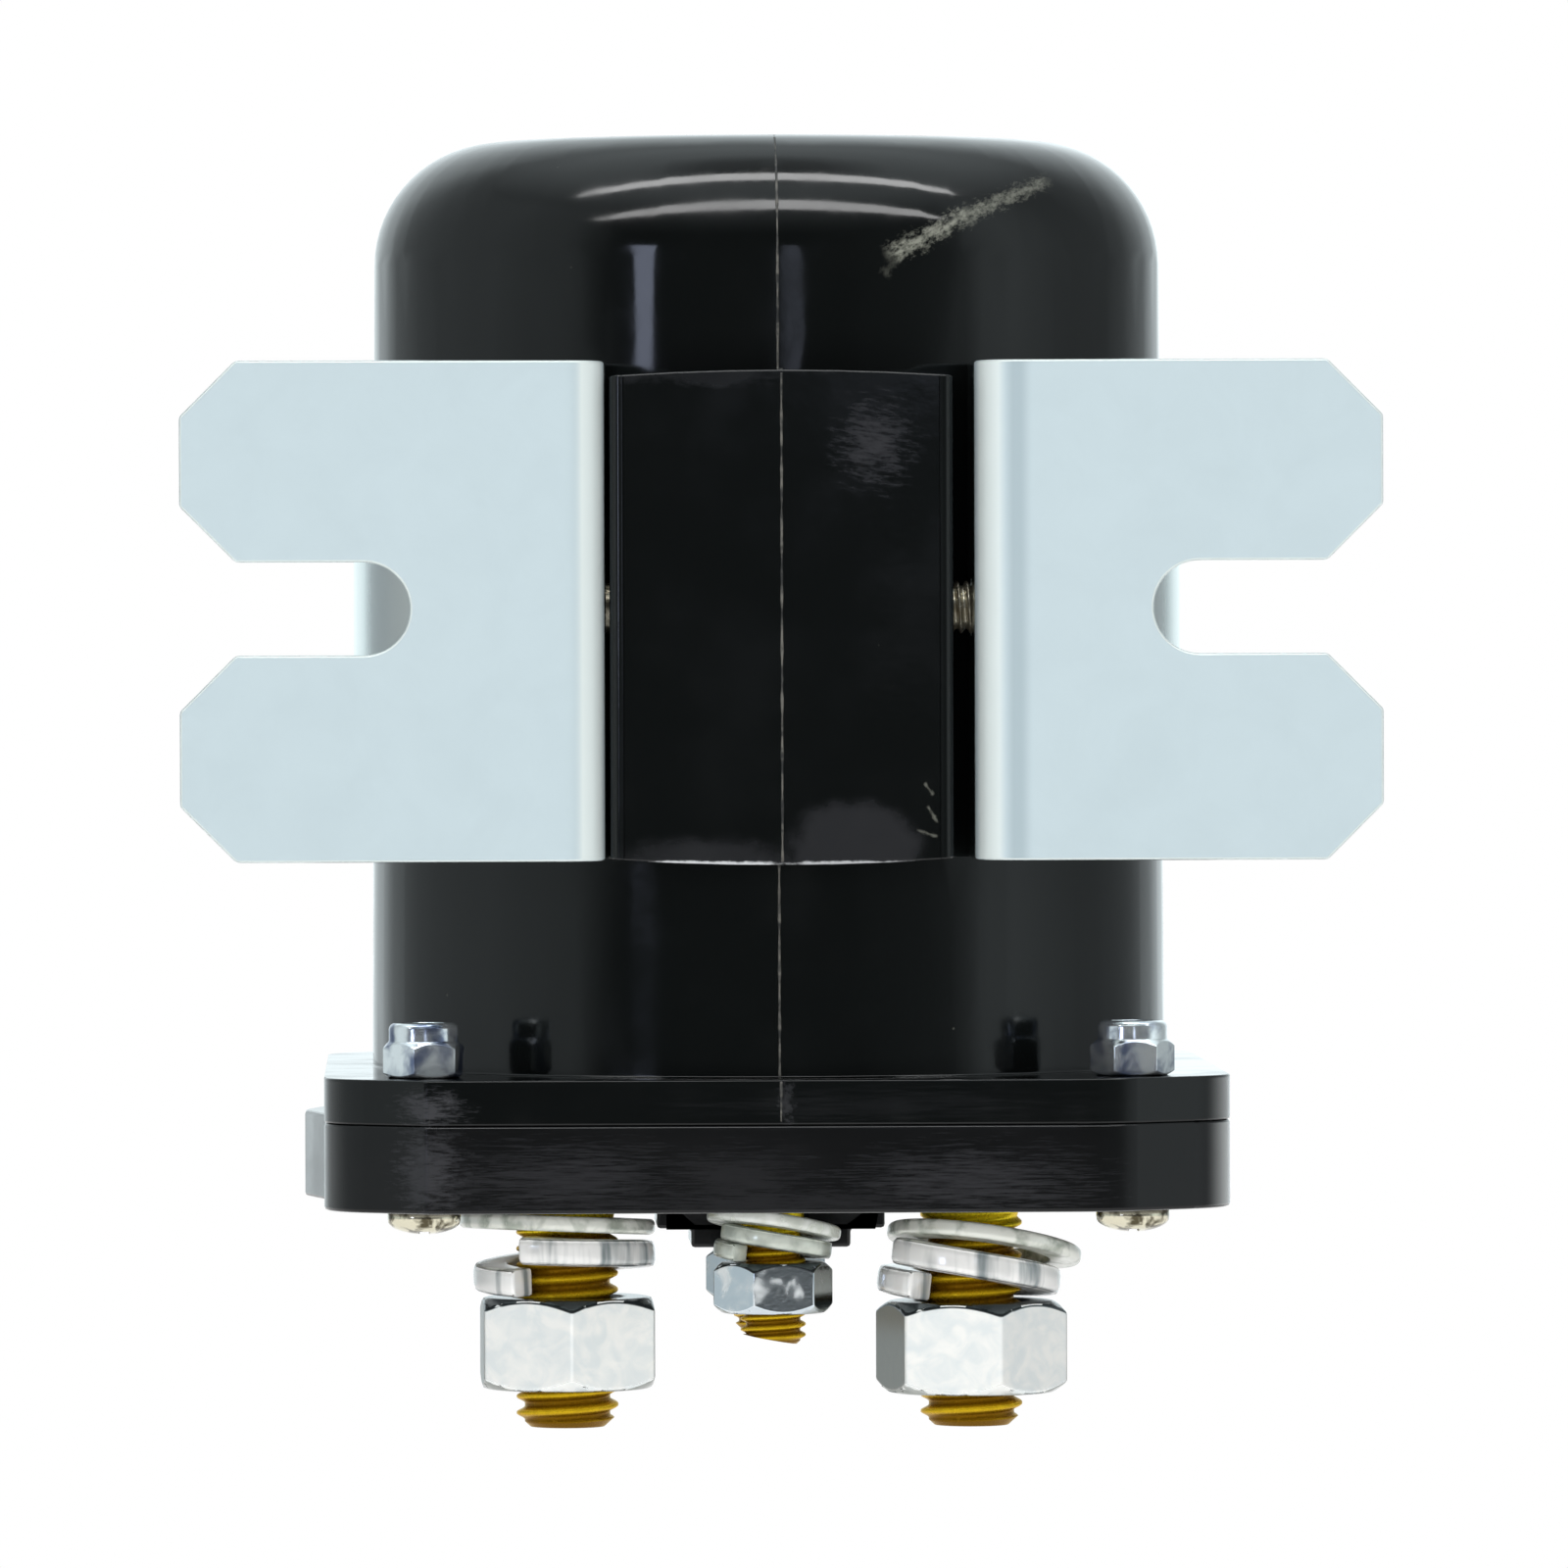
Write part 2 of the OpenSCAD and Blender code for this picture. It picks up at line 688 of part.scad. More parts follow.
// One side of the strap seen from above. side is -1 on the left and 1 on the right
module strap_side(side, gap) {
    xi = pad_w / 2 + gap;
    xo = xi + strap_t;
    ear_centre = [xo + ear_bend_r, strap_t + ear_bend_r];
    band_centre = [xo + band_bend_r, bend_y(xi)];
    axis_angle = atan2(mount_depth - band_centre[1], -band_centre[0]);
    mirror([side < 0 ? 1 : 0, 0]) {
        translate([xi, ear_centre[1] - eps])
            square([strap_t, band_centre[1] - ear_centre[1] + 2 * eps]);
        translate([ear_centre[0] - eps, 0]) square([ear_span / 2 - ear_centre[0] + eps, strap_t]);
        translate(ear_centre) ring_sector(ear_bend_r, ear_bend_r + strap_t, 180, 270);
        translate(band_centre) ring_sector(band_bend_r, band_bend_r + strap_t, axis_angle, 180);
    }
}

// The strap seen from above, as one strip of even thickness
module strap_outline() {
    reach = 2 * band_out;
    r_bend = band_out + band_bend_r;
    left = -asin((pad_w / 2 + leg_gap_left + strap_t + band_bend_r) / r_bend) + join_angle;
    right = asin((pad_w / 2 + leg_gap_right + strap_t + band_bend_r) / r_bend) - join_angle;
    translate([0, mount_depth])
        difference() {
            circle(r = band_out);
            circle(r = band_in);
            polygon([[0, 0], polar(reach, -90 + left), [0, -reach], polar(reach, -90 + right)]);
        }
    strap_side(-1, leg_gap_left);
    strap_side(1, leg_gap_right);
}

// What is cut from one ear: its open slot and its corners
module ear_cuts() {
    tip = ear_span / 2;
    half = slot_w / 2;
    translate([slot_pitch / 2, 0]) circle(r = half);
    translate([slot_pitch / 2, -half]) square([ear_span, slot_w]);
    for (corner = [[strap_top, -1], [strap_bottom, 1], [half, 1], [-half, -1]])
        polygon([
            [tip - ear_cut - 1, corner[0] - corner[1]], [tip + 1, corner[0] - corner[1]],
            [tip + 1, corner[0] + corner[1] * (ear_cut + 1)]
        ]);
}

module strap_bracket() {
    color("#c3cdd2")
        difference() {
            translate([0, 0, strap_bottom]) linear_extrude(strap_h) strap_outline();
            for (side = [0, 1])
                mirror([side, 0, 0])
                    translate([0, strap_t + 1, 0]) rotate([90, 0, 0])
                        linear_extrude(strap_t + 2) ear_cuts();
            translate([-pad_w, cross_y, 0]) rotate([0, 90, 0])
                cylinder(r = cross_hole_r, h = 2 * pad_w);
        }
}

// Outer faces of the two legs
leg_left = -(pad_w / 2 + leg_gap_left + strap_t);
leg_right = pad_w / 2 + leg_gap_right + strap_t;

// Turn a fastener that hangs along -Z so that it points along the cross bolt's axis
module on_cross_bolt(x) {
    translate([x, cross_y, 0]) rotate([0, -90, 0]) children();
}

module cross_bolt() {
    length = leg_right - leg_left + cross_washer_t + cross_nut_h + cross_tail;
    color("#b9bfc2") {
        on_cross_bolt(leg_left) rotate([180, 0, 0]) hex_prism(cross_af, cross_head_h);
        on_cross_bolt(leg_left) translate([0, 0, -length])
            rotate_extrude()
                polygon([
                    [0, 0], [cross_d / 2 - 0.5, 0], [cross_d / 2, 0.5],
                    [cross_d / 2, length + eps], [0, length + eps]
                ]);
    }
}

module cross_washer() {
    color("#c9ced1") on_cross_bolt(leg_right + cross_washer_t / 2)
        flat_washer(cross_washer_d, cross_d + 2 * cross_play, cross_washer_t);
}

module cross_nut() {
    color("#c9ced1") on_cross_bolt(leg_right + cross_washer_t)
        hex_nut(cross_af, cross_nut_h, cross_d + 2 * thread_play);
}

// Shank of a stud, from the top of its head down to its chamfered end below the cap
module stud_shank(d, head_t, out) {
    tip = 0.09 * d;
    end = cap_bottom - out;
    rotate_extrude()
        polygon([
            [0, end], [d / 2 - tip, end], [d / 2, end + tip],
            [d / 2, floor_z + head_t - eps], [0, floor_z + head_t - eps]
        ]);
}

module power_stud(side) {
    color("#b08a2e") on_axis() translate([side * power_pitch / 2, 0, 0]) {
        stud_shank(power_d, power_head_t, power_out);
        intersection() {
            collar_ring(power_head_d / 2, power_d / 4, floor_z, power_head_t);
            translate([-power_head_d, -power_head_af / 2, floor_z - 1])
                cube([2 * power_head_d, power_head_af, power_head_t + 2]);
        }
    }
}

module coil_stud(side, snip) {
    end = cap_bottom - coil_out;
    color("#b08a2e") on_axis() translate([0, side * coil_pitch / 2, 0]) {
        translate([0, 0, floor_z + coil_head_t]) hex_prism(coil_head_af, coil_head_t);
        difference() {
            stud_shank(coil_d, coil_head_t, coil_out);
            translate([coil_d / 2, 0, end]) rotate([0, snip, 0])
                translate([-3 * coil_d, -coil_d, -coil_d])
                    cube([4 * coil_d, 2 * coil_d, coil_d]);
        }
    }
}

// Lean of a loose washer: its right side down and its near side up, in degrees
module lean(right_down, near_up) {
    rotate([-near_up, right_down, 0]) children();
}

// Height of the middle of a spring washer that lies on a nut's top
function split_z(nut_z, pose, rise, t) = nut_z + (rise + t) / 2 + pose[0] * t;

// Height of the middle of a flat washer that hangs on a spring washer
function flat_z(spring_z, pose, rise, spring_t, t) =
    spring_z + (rise + spring_t + t) / 2 + pose[1] * t;

// Sideways shift of a washer that is loose on a stud, as a share of its play there
function loose_shift(share, hole_d, d) = share * (hole_d - d) / 2;

module power_spring_washer(side, pose, back_off) {
    z = split_z(power_nut_z - back_off, pose, power_spring_rise, power_spring_t);
    x = side * power_pitch / 2
        + loose_shift(pose[5], power_spring_d - 2 * power_spring_w, power_d);
    color("#d3d8da") on_axis() translate([x, 0, z])
        lean(pose[1], pose[2])
            split_washer(power_spring_d, power_spring_w, power_spring_t, power_spring_rise,
                         pose[3], pose[4]);
}

module power_washer(side, pose, split_pose, back_off) {
    spring_z = split_z(power_nut_z - back_off, split_pose, power_spring_rise, power_spring_t);
    z = flat_z(spring_z, pose, power_spring_rise, power_spring_t, power_washer_t);
    x = side * power_pitch / 2 + loose_shift(pose[0], power_washer_hole, power_d);
    color("#c2c9c8") on_axis() translate([x, 0, z])
        lean(pose[2], pose[3])
            flat_washer(power_washer_d, power_washer_hole, power_washer_t);
}

module power_nut(side, turn, back_off) {
    color("#d6dadb") on_axis() translate([side * power_pitch / 2, 0, power_nut_z - back_off])
        rotate([0, 0, turn]) hex_nut(power_nut_af, power_nut_h, power_d + 2 * thread_play);
}

module coil_spring_washer(side, pose) {
    z = split_z(coil_nut_z, pose, coil_spring_rise, coil_spring_t);
    x = loose_shift(pose[5], coil_spring_d - 2 * coil_spring_w, coil_d);
    color("#d3d8da") on_axis() translate([x, side * coil_pitch / 2, z])
        lean(pose[1], pose[2])
            split_washer(coil_spring_d, coil_spring_w, coil_spring_t, coil_spring_rise,
                         pose[3], pose[4]);
}

module coil_washer(side, pose, split_pose) {
    spring_z = split_z(coil_nut_z, split_pose, coil_spring_rise, coil_spring_t);
    z = flat_z(spring_z, pose, coil_spring_rise, coil_spring_t, coil_washer_t);
    x = loose_shift(pose[0], coil_washer_hole, coil_d);
    color("#cfd5d2") on_axis() translate([x, side * coil_pitch / 2, z])
        lean(pose[2], pose[3])
            flat_washer(coil_washer_d, coil_washer_hole, coil_washer_t);
}

module coil_nut(side, turn) {
    color("#d6dadb") on_axis() translate([0, side * coil_pitch / 2, coil_nut_z])
        rotate([0, 0, turn]) hex_nut(coil_nut_af, coil_nut_h, coil_d + 2 * thread_play);
}

// Pan head screw from below the cap up into its lock nut
module corner_screw(x, y) {
    end = flange_top + lock_nut_h - 0.3;
    head_r = screw_head_d / 2;
    dome = 0.45 * screw_head_h;
    color("#cdc9b4") on_axis()
        translate([x * screw_pitch / 2, y * screw_pitch / 2, 0]) {
            rotate_extrude()
                intersection() {
                    union() {
                        polygon([
                            [0, cap_bottom], [head_r, cap_bottom],
                            [head_r, cap_bottom - screw_head_h + dome],
                            [head_r - dome, cap_bottom - screw_head_h], [0, cap_bottom - screw_head_h]
                        ]);
                        translate([head_r - dome, cap_bottom - screw_head_h + dome]) circle(r = dome);
                    }
                    translate([0, cap_bottom - screw_head_h]) square([head_r, screw_head_h]);
                }
            translate([0, 0, cap_bottom - eps])
                cylinder(d = screw_d, h = end - cap_bottom + eps);
        }
}

// Lock nut standing on the flange, with the groove that holds its nylon ring
module lock_nut(x, y) {
    turn = lock_nut_turn[(x + 1) / 2][(y + 1) / 2];
    hex_h = 0.66 * lock_nut_h;
    corner_r = lock_nut_af / 2 / cos(30);
    collar_r = 0.47 * lock_nut_af;
    lip = 0.5;
    color("#cdd3d6") on_axis()
        translate([x * screw_pitch / 2, y * screw_pitch / 2, flange_top])
            difference() {
                union() {
                    intersection() {
                        rotate([0, 0, turn]) cylinder(r = corner_r, h = hex_h, $fn = 6);
                        rotate_extrude()
                            polygon([
                                [0, 0], [collar_r, 0], [corner_r + eps, 0.35],
                                [corner_r + eps, hex_h - 0.5], [collar_r, hex_h], [0, hex_h]
                            ]);
                    }
                    rotate_extrude()
                        intersection() {
                            union() {
                                polygon([
                                    [0, hex_h - eps], [collar_r, hex_h - eps], [collar_r, lock_nut_h - lip],
                                    [collar_r - lip, lock_nut_h], [0, lock_nut_h]
                                ]);
                                translate([collar_r - lip, lock_nut_h - lip]) circle(r = lip);
                            }
                            square([collar_r, lock_nut_h]);
                        }
                }
                translate([0, 0, -eps]) cylinder(d = screw_d + 2 * thread_play, h = lock_nut_h + 1);
                translate([0, 0, insert_z - flange_top]) cylinder(r = insert_r, h = insert_h);
            }
}

module lock_nut_inserts() {
    color("#e8e6da") on_axis() at_corners()
        collar_ring(insert_r, screw_d / 2 + thread_play, insert_z, insert_h);
}

module coil_bobbin() {
    color("#e3ddc8") on_axis()
        difference() {
            union() {
                translate([0, 0, plate_top]) cylinder(r = bobbin_r, h = bobbin_flange_t);
                translate([0, 0, plate_top]) cylinder(r = barrel_out, h = bobbin_top - plate_top);
                translate([0, 0, bobbin_top - bobbin_flange_t]) cylinder(r = bobbin_r, h = bobbin_flange_t);
            }
            translate([0, 0, plate_top - eps]) cylinder(r = barrel_in, h = bobbin_top - plate_top + 1);
        }
}

module coil_winding() {
    color("#a4552a") on_axis()
        collar_ring(winding_r, barrel_out, plate_top + bobbin_flange_t,
                    bobbin_top - plate_top - 2 * bobbin_flange_t);
}

module yoke_can() {
    edge_r = 3;
    notch_w = 4 * lead_d;
    color("#8d9499") on_axis()
        difference() {
            rotate_extrude()
                intersection() {
                    dome_section(can_r, can_r, plate_top, can_top, edge_r);
                    translate([0, plate_top]) square([can_r, can_h]);
                }
            translate([0, 0, plate_top - eps]) cylinder(r = can_in, h = can_h - can_t + eps);
            cylinder(r = guide_out + coil_clear, h = can_top + 1);
            for (side = [-1, 1])
                translate([-notch_w / 2, side * can_r - can_r / 2, plate_top - eps])
                    cube([notch_w, can_r, bobbin_flange_t + 2.5 * lead_d]);
        }
}

module pole_plate() {
    slot = 4 * lead_d;
    color("#878e93") on_axis()
        difference() {
            translate([0, 0, plate_bottom]) cylinder(r = spigot_r, h = plate_t);
            translate([0, 0, plate_bottom - eps]) cylinder(r = core_spigot_r, h = plate_t + 2 * eps);
            for (side = [0, 1])
                mirror([0, side, 0])
                    translate([-slot / 2, lead_y - lead_d, plate_bottom - eps])
                        cube([slot, spigot_r, plate_t + 2 * eps]);
        }
}

module fixed_core() {
    color("#969da1") on_axis()
        difference() {
            union() {
                translate([0, 0, plate_bottom]) cylinder(r = core_spigot_r, h = plate_t + eps);
                translate([0, 0, plate_top]) cylinder(r = core_r, h = core_h);
            }
            translate([0, 0, plate_bottom - eps]) cylinder(r = rod_r + rod_clear, h = plate_t + core_h + 1);
            translate([0, 0, core_top - core_pocket]) cylinder(r = pocket_r, h = core_pocket + 1);
        }
}

module guide_tube() {
    tube_tail = 1.4;
    color("#c79a3b") on_axis()
        collar_ring(guide_out, guide_r, plate_top, can_h + tube_tail);
}

module plunger() {
    edge = 0.6;
    color("#9ba2a6") on_axis()
        difference() {
            translate([0, 0, plunger_bottom])
                rotate_extrude()
                    polygon([
                        [0, 0], [plunger_r - edge, 0], [plunger_r, edge], [plunger_r, plunger_l - edge],
                        [plunger_r - edge, plunger_l], [0, plunger_l]
                    ]);
            translate([0, 0, plunger_bottom - eps]) cylinder(r = rod_r, h = rod_grip + eps);
        }
}

module push_rod() {
    groove_r = rod_r - 0.5;
    color("#b4babd") on_axis()
        difference() {
            translate([0, 0, rod_bottom]) cylinder(r = rod_r, h = rod_top - rod_bottom);
            collar_ring(rod_r + 1, groove_r, clip_bottom, clip_t);
        }
}

module return_spring() {
    color("#a9afb3") on_axis()
        coil_spring(return_r, return_wire, core_top - core_pocket,
                    plunger_bottom - core_top + core_pocket, 7);
}

module rod_collar() {
    color("#b4babd") on_axis() collar_ring(insulator_r, rod_r, collar_bottom, collar_t);
}

module contact_spring() {
    color("#a9afb3") on_axis()
        coil_spring(contact_r, contact_wire, bush_top, collar_bottom - bush_top, 3.5);
}

module insulating_bush() {
    color("#d8cfae") on_axis()
        difference() {
            union() {
                translate([0, 0, disc_top]) cylinder(r = insulator_r, h = insulator_t);
                translate([0, 0, disc_bottom]) cylinder(r = bush_r, h = disc_t + eps);
            }
            translate([0, 0, disc_bottom - eps])
                cylinder(r = rod_r + rod_clear, h = disc_t + insulator_t + 1);
        }
}

module contact_disc() {
    color("#b8693a") on_axis() collar_ring(disc_r, bush_r, disc_bottom, disc_t);
}

module insulating_washer() {
    color("#d8cfae") on_axis()
        collar_ring(insulator_r, rod_r + rod_clear, washer_bottom, insulator_t);
}

module retaining_clip() {
    color("#8f9599") on_axis()
        difference() {
            collar_ring(clip_r, rod_r - 0.5, clip_bottom, clip_t);
            translate([0, -rod_r * 0.6, clip_bottom - eps])
                cube([clip_r + 1, rod_r * 1.2, clip_t + 2 * eps]);
        }
}

// Coil lead: out through the can, down past the pole plate, in to the stud's head
module coil_lead(side) {
    wire_r = lead_d / 2;
    top = plate_top + bobbin_flange_t + wire_r + lead_gap;
    low = floor_z + coil_head_t / 2;
    head_edge = coil_pitch / 2 + coil_head_af / 2;
    color("#a4552a") on_axis() mirror([0, side < 0 ? 1 : 0, 0]) {
        translate([0, winding_r, top]) rotate([-90, 0, 0]) cylinder(r = wire_r, h = lead_y - winding_r);
        translate([0, lead_y, low]) cylinder(r = wire_r, h = top - low);
        translate([0, head_edge, low]) rotate([-90, 0, 0]) cylinder(r = wire_r, h = lead_y - head_edge);
        translate([0, lead_y, top]) sphere(r = wire_r);
        translate([0, lead_y, low]) sphere(r = wire_r);
    }
}

housing();
terminal_cap();
strap_bracket();
cross_bolt();
cross_washer();
cross_nut();
power_stud(-1);  // power_stud_left
power_stud(1);  // power_stud_right
power_washer(-1, flat_left, split_left, 0);  // power_washer_left
power_washer(1, flat_right, split_right, right_nut_back_off);  // power_washer_right
power_spring_washer(-1, split_left, 0);  // power_spring_washer_left
power_spring_washer(1, split_right, right_nut_back_off);  // power_spring_washer_right
power_nut(-1, power_nut_turn[0], 0);  // power_nut_left
power_nut(1, power_nut_turn[1], right_nut_back_off);  // power_nut_right
coil_stud(-1, snip_angle);  // coil_stud_front
coil_stud(1, 0);  // coil_stud_rear
coil_washer(-1, flat_front, split_front);  // coil_washer_front
coil_washer(1, flat_rear, split_rear);  // coil_washer_rear
coil_spring_washer(-1, split_front);  // coil_spring_washer_front
coil_spring_washer(1, split_rear);  // coil_spring_washer_rear
coil_nut(-1, coil_nut_turn[0]);  // coil_nut_front
coil_nut(1, coil_nut_turn[1]);  // coil_nut_rear
corner_screw(-1, -1);  // corner_screw_front_left
corner_screw(1, -1);  // corner_screw_front_right
corner_screw(-1, 1);  // corner_screw_rear_left
corner_screw(1, 1);  // corner_screw_rear_right
lock_nut(-1, -1);  // lock_nut_front_left
lock_nut(1, -1);  // lock_nut_front_right
lock_nut(-1, 1);  // lock_nut_rear_left
lock_nut(1, 1);  // lock_nut_rear_right
lock_nut_inserts();
coil_bobbin();
coil_winding();
yoke_can();
pole_plate();
fixed_core();
guide_tube();
plunger();
push_rod();
return_spring();
rod_collar();
contact_spring();
insulating_bush();
contact_disc();
insulating_washer();
retaining_clip();
coil_lead(-1);  // coil_lead_front
coil_lead(1);  // coil_lead_rear
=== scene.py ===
import bpy
import json
import math
from mathutils import Matrix, Vector


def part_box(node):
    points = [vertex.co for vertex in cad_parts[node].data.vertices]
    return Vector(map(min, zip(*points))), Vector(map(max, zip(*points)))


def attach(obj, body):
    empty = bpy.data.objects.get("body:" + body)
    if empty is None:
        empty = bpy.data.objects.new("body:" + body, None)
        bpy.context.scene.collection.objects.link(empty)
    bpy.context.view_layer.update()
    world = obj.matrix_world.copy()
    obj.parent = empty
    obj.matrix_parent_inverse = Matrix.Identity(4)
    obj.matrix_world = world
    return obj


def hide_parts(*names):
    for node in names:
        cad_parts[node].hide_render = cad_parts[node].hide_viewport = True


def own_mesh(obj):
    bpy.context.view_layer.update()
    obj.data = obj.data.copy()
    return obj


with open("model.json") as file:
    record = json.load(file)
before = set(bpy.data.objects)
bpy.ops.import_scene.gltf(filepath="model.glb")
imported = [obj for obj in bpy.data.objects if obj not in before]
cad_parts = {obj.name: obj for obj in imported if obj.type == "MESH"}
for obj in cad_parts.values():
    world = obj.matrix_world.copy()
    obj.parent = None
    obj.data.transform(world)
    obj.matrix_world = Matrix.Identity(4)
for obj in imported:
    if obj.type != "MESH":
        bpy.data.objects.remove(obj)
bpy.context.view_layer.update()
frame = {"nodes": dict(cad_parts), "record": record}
nodes = frame["nodes"]

# The scene is in metres, and MM turns the millimetres of the part's source into them
MM = 0.001
# Axis of the body in Y, and levels in Z, as in the part's source
AXIS_Y = 40.0 * MM
SEAM_Z = -38.1 * MM
FLANGE_TOP = SEAM_Z + 3.35 * MM
CAP_BOTTOM = SEAM_Z - 6.5 * MM
# Underside of the studs' heads inside the cap, and the level above which a stud has no thread
HEAD_LOW = CAP_BOTTOM + 3.0 * MM
SHANK_Z = CAP_BOTTOM - 2.7 * MM
# Radius at the crest and at the root of the power studs' thread, and of the coil studs' thread
M8_CREST, M8_ROOT = 3.88 * MM, 3.25 * MM
M5_CREST, M5_ROOT = 2.46 * MM, 2.05 * MM
# Fronts of the pad and of the flange in Y, in millimetres, as the patterns on them take it
PAD_Y = 1.0
FLANGE_Y = 6.3

# Colours, linear
BLACK_GLOSS = (0.0034, 0.0042, 0.0042)
BLACK_SATIN = (0.0042, 0.0048, 0.0050)
SATIN_CLOUD = (0.0060, 0.0060, 0.0064)
HAZE = (0.030, 0.031, 0.035)
FLASH_DARK = (0.012, 0.013, 0.013)
FLASH_GREY = (0.13, 0.125, 0.11)
# Painted sheen of the black plastics, seen at a glance
PAINTED_SHEEN_GREY = (0.76, 0.79, 0.79)
SCUFF_GREY = (0.30, 0.31, 0.26)
WORN_EDGE = (0.62, 0.64, 0.66)
ZINC_BLUE = (0.508, 0.612, 0.650)
# Painted shade beside the right ear's bend
ZINC_PAINTED_SHADE = (0.35, 0.44, 0.48)
# Painted highlight on the zinc strip's bends and edges, and its painted sheen at a glance
ZINC_PAINTED_HIGHLIGHT = (0.76, 0.84, 0.83)
ZINC_WHITE = (0.95, 0.96, 0.93)
ZINC_SHADE = (0.80, 0.85, 0.85)
# Painted shade and dark reflection on the nuts' upward chamfers
CHAMFER_PAINTED_SHADE = (0.12, 0.145, 0.155)
# Painted dark reflection on a nut's flats seen at a glance
NUT_PAINTED_DARK_REFLECTION = (0.13, 0.145, 0.12)
BRASS_GOLD = (0.62, 0.40, 0.011)
BRASS_PLAIN = (0.92, 0.72, 0.020)
# Painted shade in the roots of the brass threads
BRASS_ROOT_PAINTED_SHADE = (0.16, 0.075, 0.001)
BRASS_GLINT = (1.0, 0.74, 0.20)
NICKEL_WARM = (0.76, 0.72, 0.56)
# Painted shade in the grooves between the winding's turns
WIRE_PAINTED_SHADE = (0.12, 0.03, 0.01)
WIRE_PALE = (0.55, 0.20, 0.07)
STUDIO_TINT = (0.90, 1.0, 1.03)

# Brightness of the studio by azimuth in degrees, as the body mirrors it. The camera is at 0
STUDIO_AROUND = [
    (-180, 1.25), (-174, 1.15), (-160, 1.0), (-152, 0.95), (-145, 0.72), (-138, 0.54), (-127, 0.46),
    (-110, 0.52), (-90, 0.66), (-63, 0.60), (-58, 0.50), (-53, 0.26), (-48, 0.11), (-44, 0.05),
    (22, 0.05), (32, 0.10), (46, 0.14), (52, 0.22), (58, 0.42), (66, 0.80), (74, 0.88), (82, 0.74),
    (98, 0.46), (112, 0.35), (129, 0.37), (140, 0.55), (150, 0.85), (156, 0.98), (165, 1.15),
    (175, 1.4), (180, 1.25),
]
# Share of it that is left at an elevation, and the least brightness there
STUDIO_FADE = [(-30, 1.0), (38, 1.0), (52, 0.7), (90, 0.5)]
STUDIO_RISE = [(-30, 0.05), (22, 0.05), (30, 0.16), (42, 0.5), (58, 1.1), (70, 1.2), (80, 0.6), (90, 0.5)]


def clamp(value):
    return max(0.0, min(1.0, value))


def smooth(value):
    t = clamp(value)
    return t * t * (3 - 2 * t)


def between(table, x):
    """Value at x on the line through a table's points."""
    for (x0, y0), (x1, y1) in zip(table, table[1:]):
        if x <= x1:
            return y0 + (y1 - y0) * clamp((x - x0) / (x1 - x0))
    return table[-1][1]


def by_start(table, name, default=None):
    """Value of the key that the name starts with."""
    return next((value for start, value in table.items() if name.startswith(start)), default)


class Nodes:
    """A node tree that grows one call at a time."""

    def __init__(self, tree):
        self.tree = tree

    def set(self, node, values):
        for key, value in values.items():
            socket = node.inputs[key]
            if isinstance(value, bpy.types.NodeSocket):
                self.tree.links.new(value, socket)
            else:
                socket.default_value = value

    def sockets(self, kind, values=None, **settings):
        """Outputs of a new node."""
        node = self.tree.nodes.new(kind)
        for key, value in settings.items():
            setattr(node, key, value)
        self.set(node, values or {})
        return node.outputs

    def add(self, kind, values=None, out=0, **settings):
        """One output of a new node."""
        return self.sockets(kind, values, **settings)[out]

    def math(self, operation, a, b=0.0):
        return self.add("ShaderNodeMath", {0: a, 1: b}, operation=operation)

    def times(self, total, *factors):
        for factor in factors:
            total = self.math("MULTIPLY", total, factor)
        return total

    def most(self, total, *others):
        for other in others:
            total = self.math("MAXIMUM", total, other)
        return total


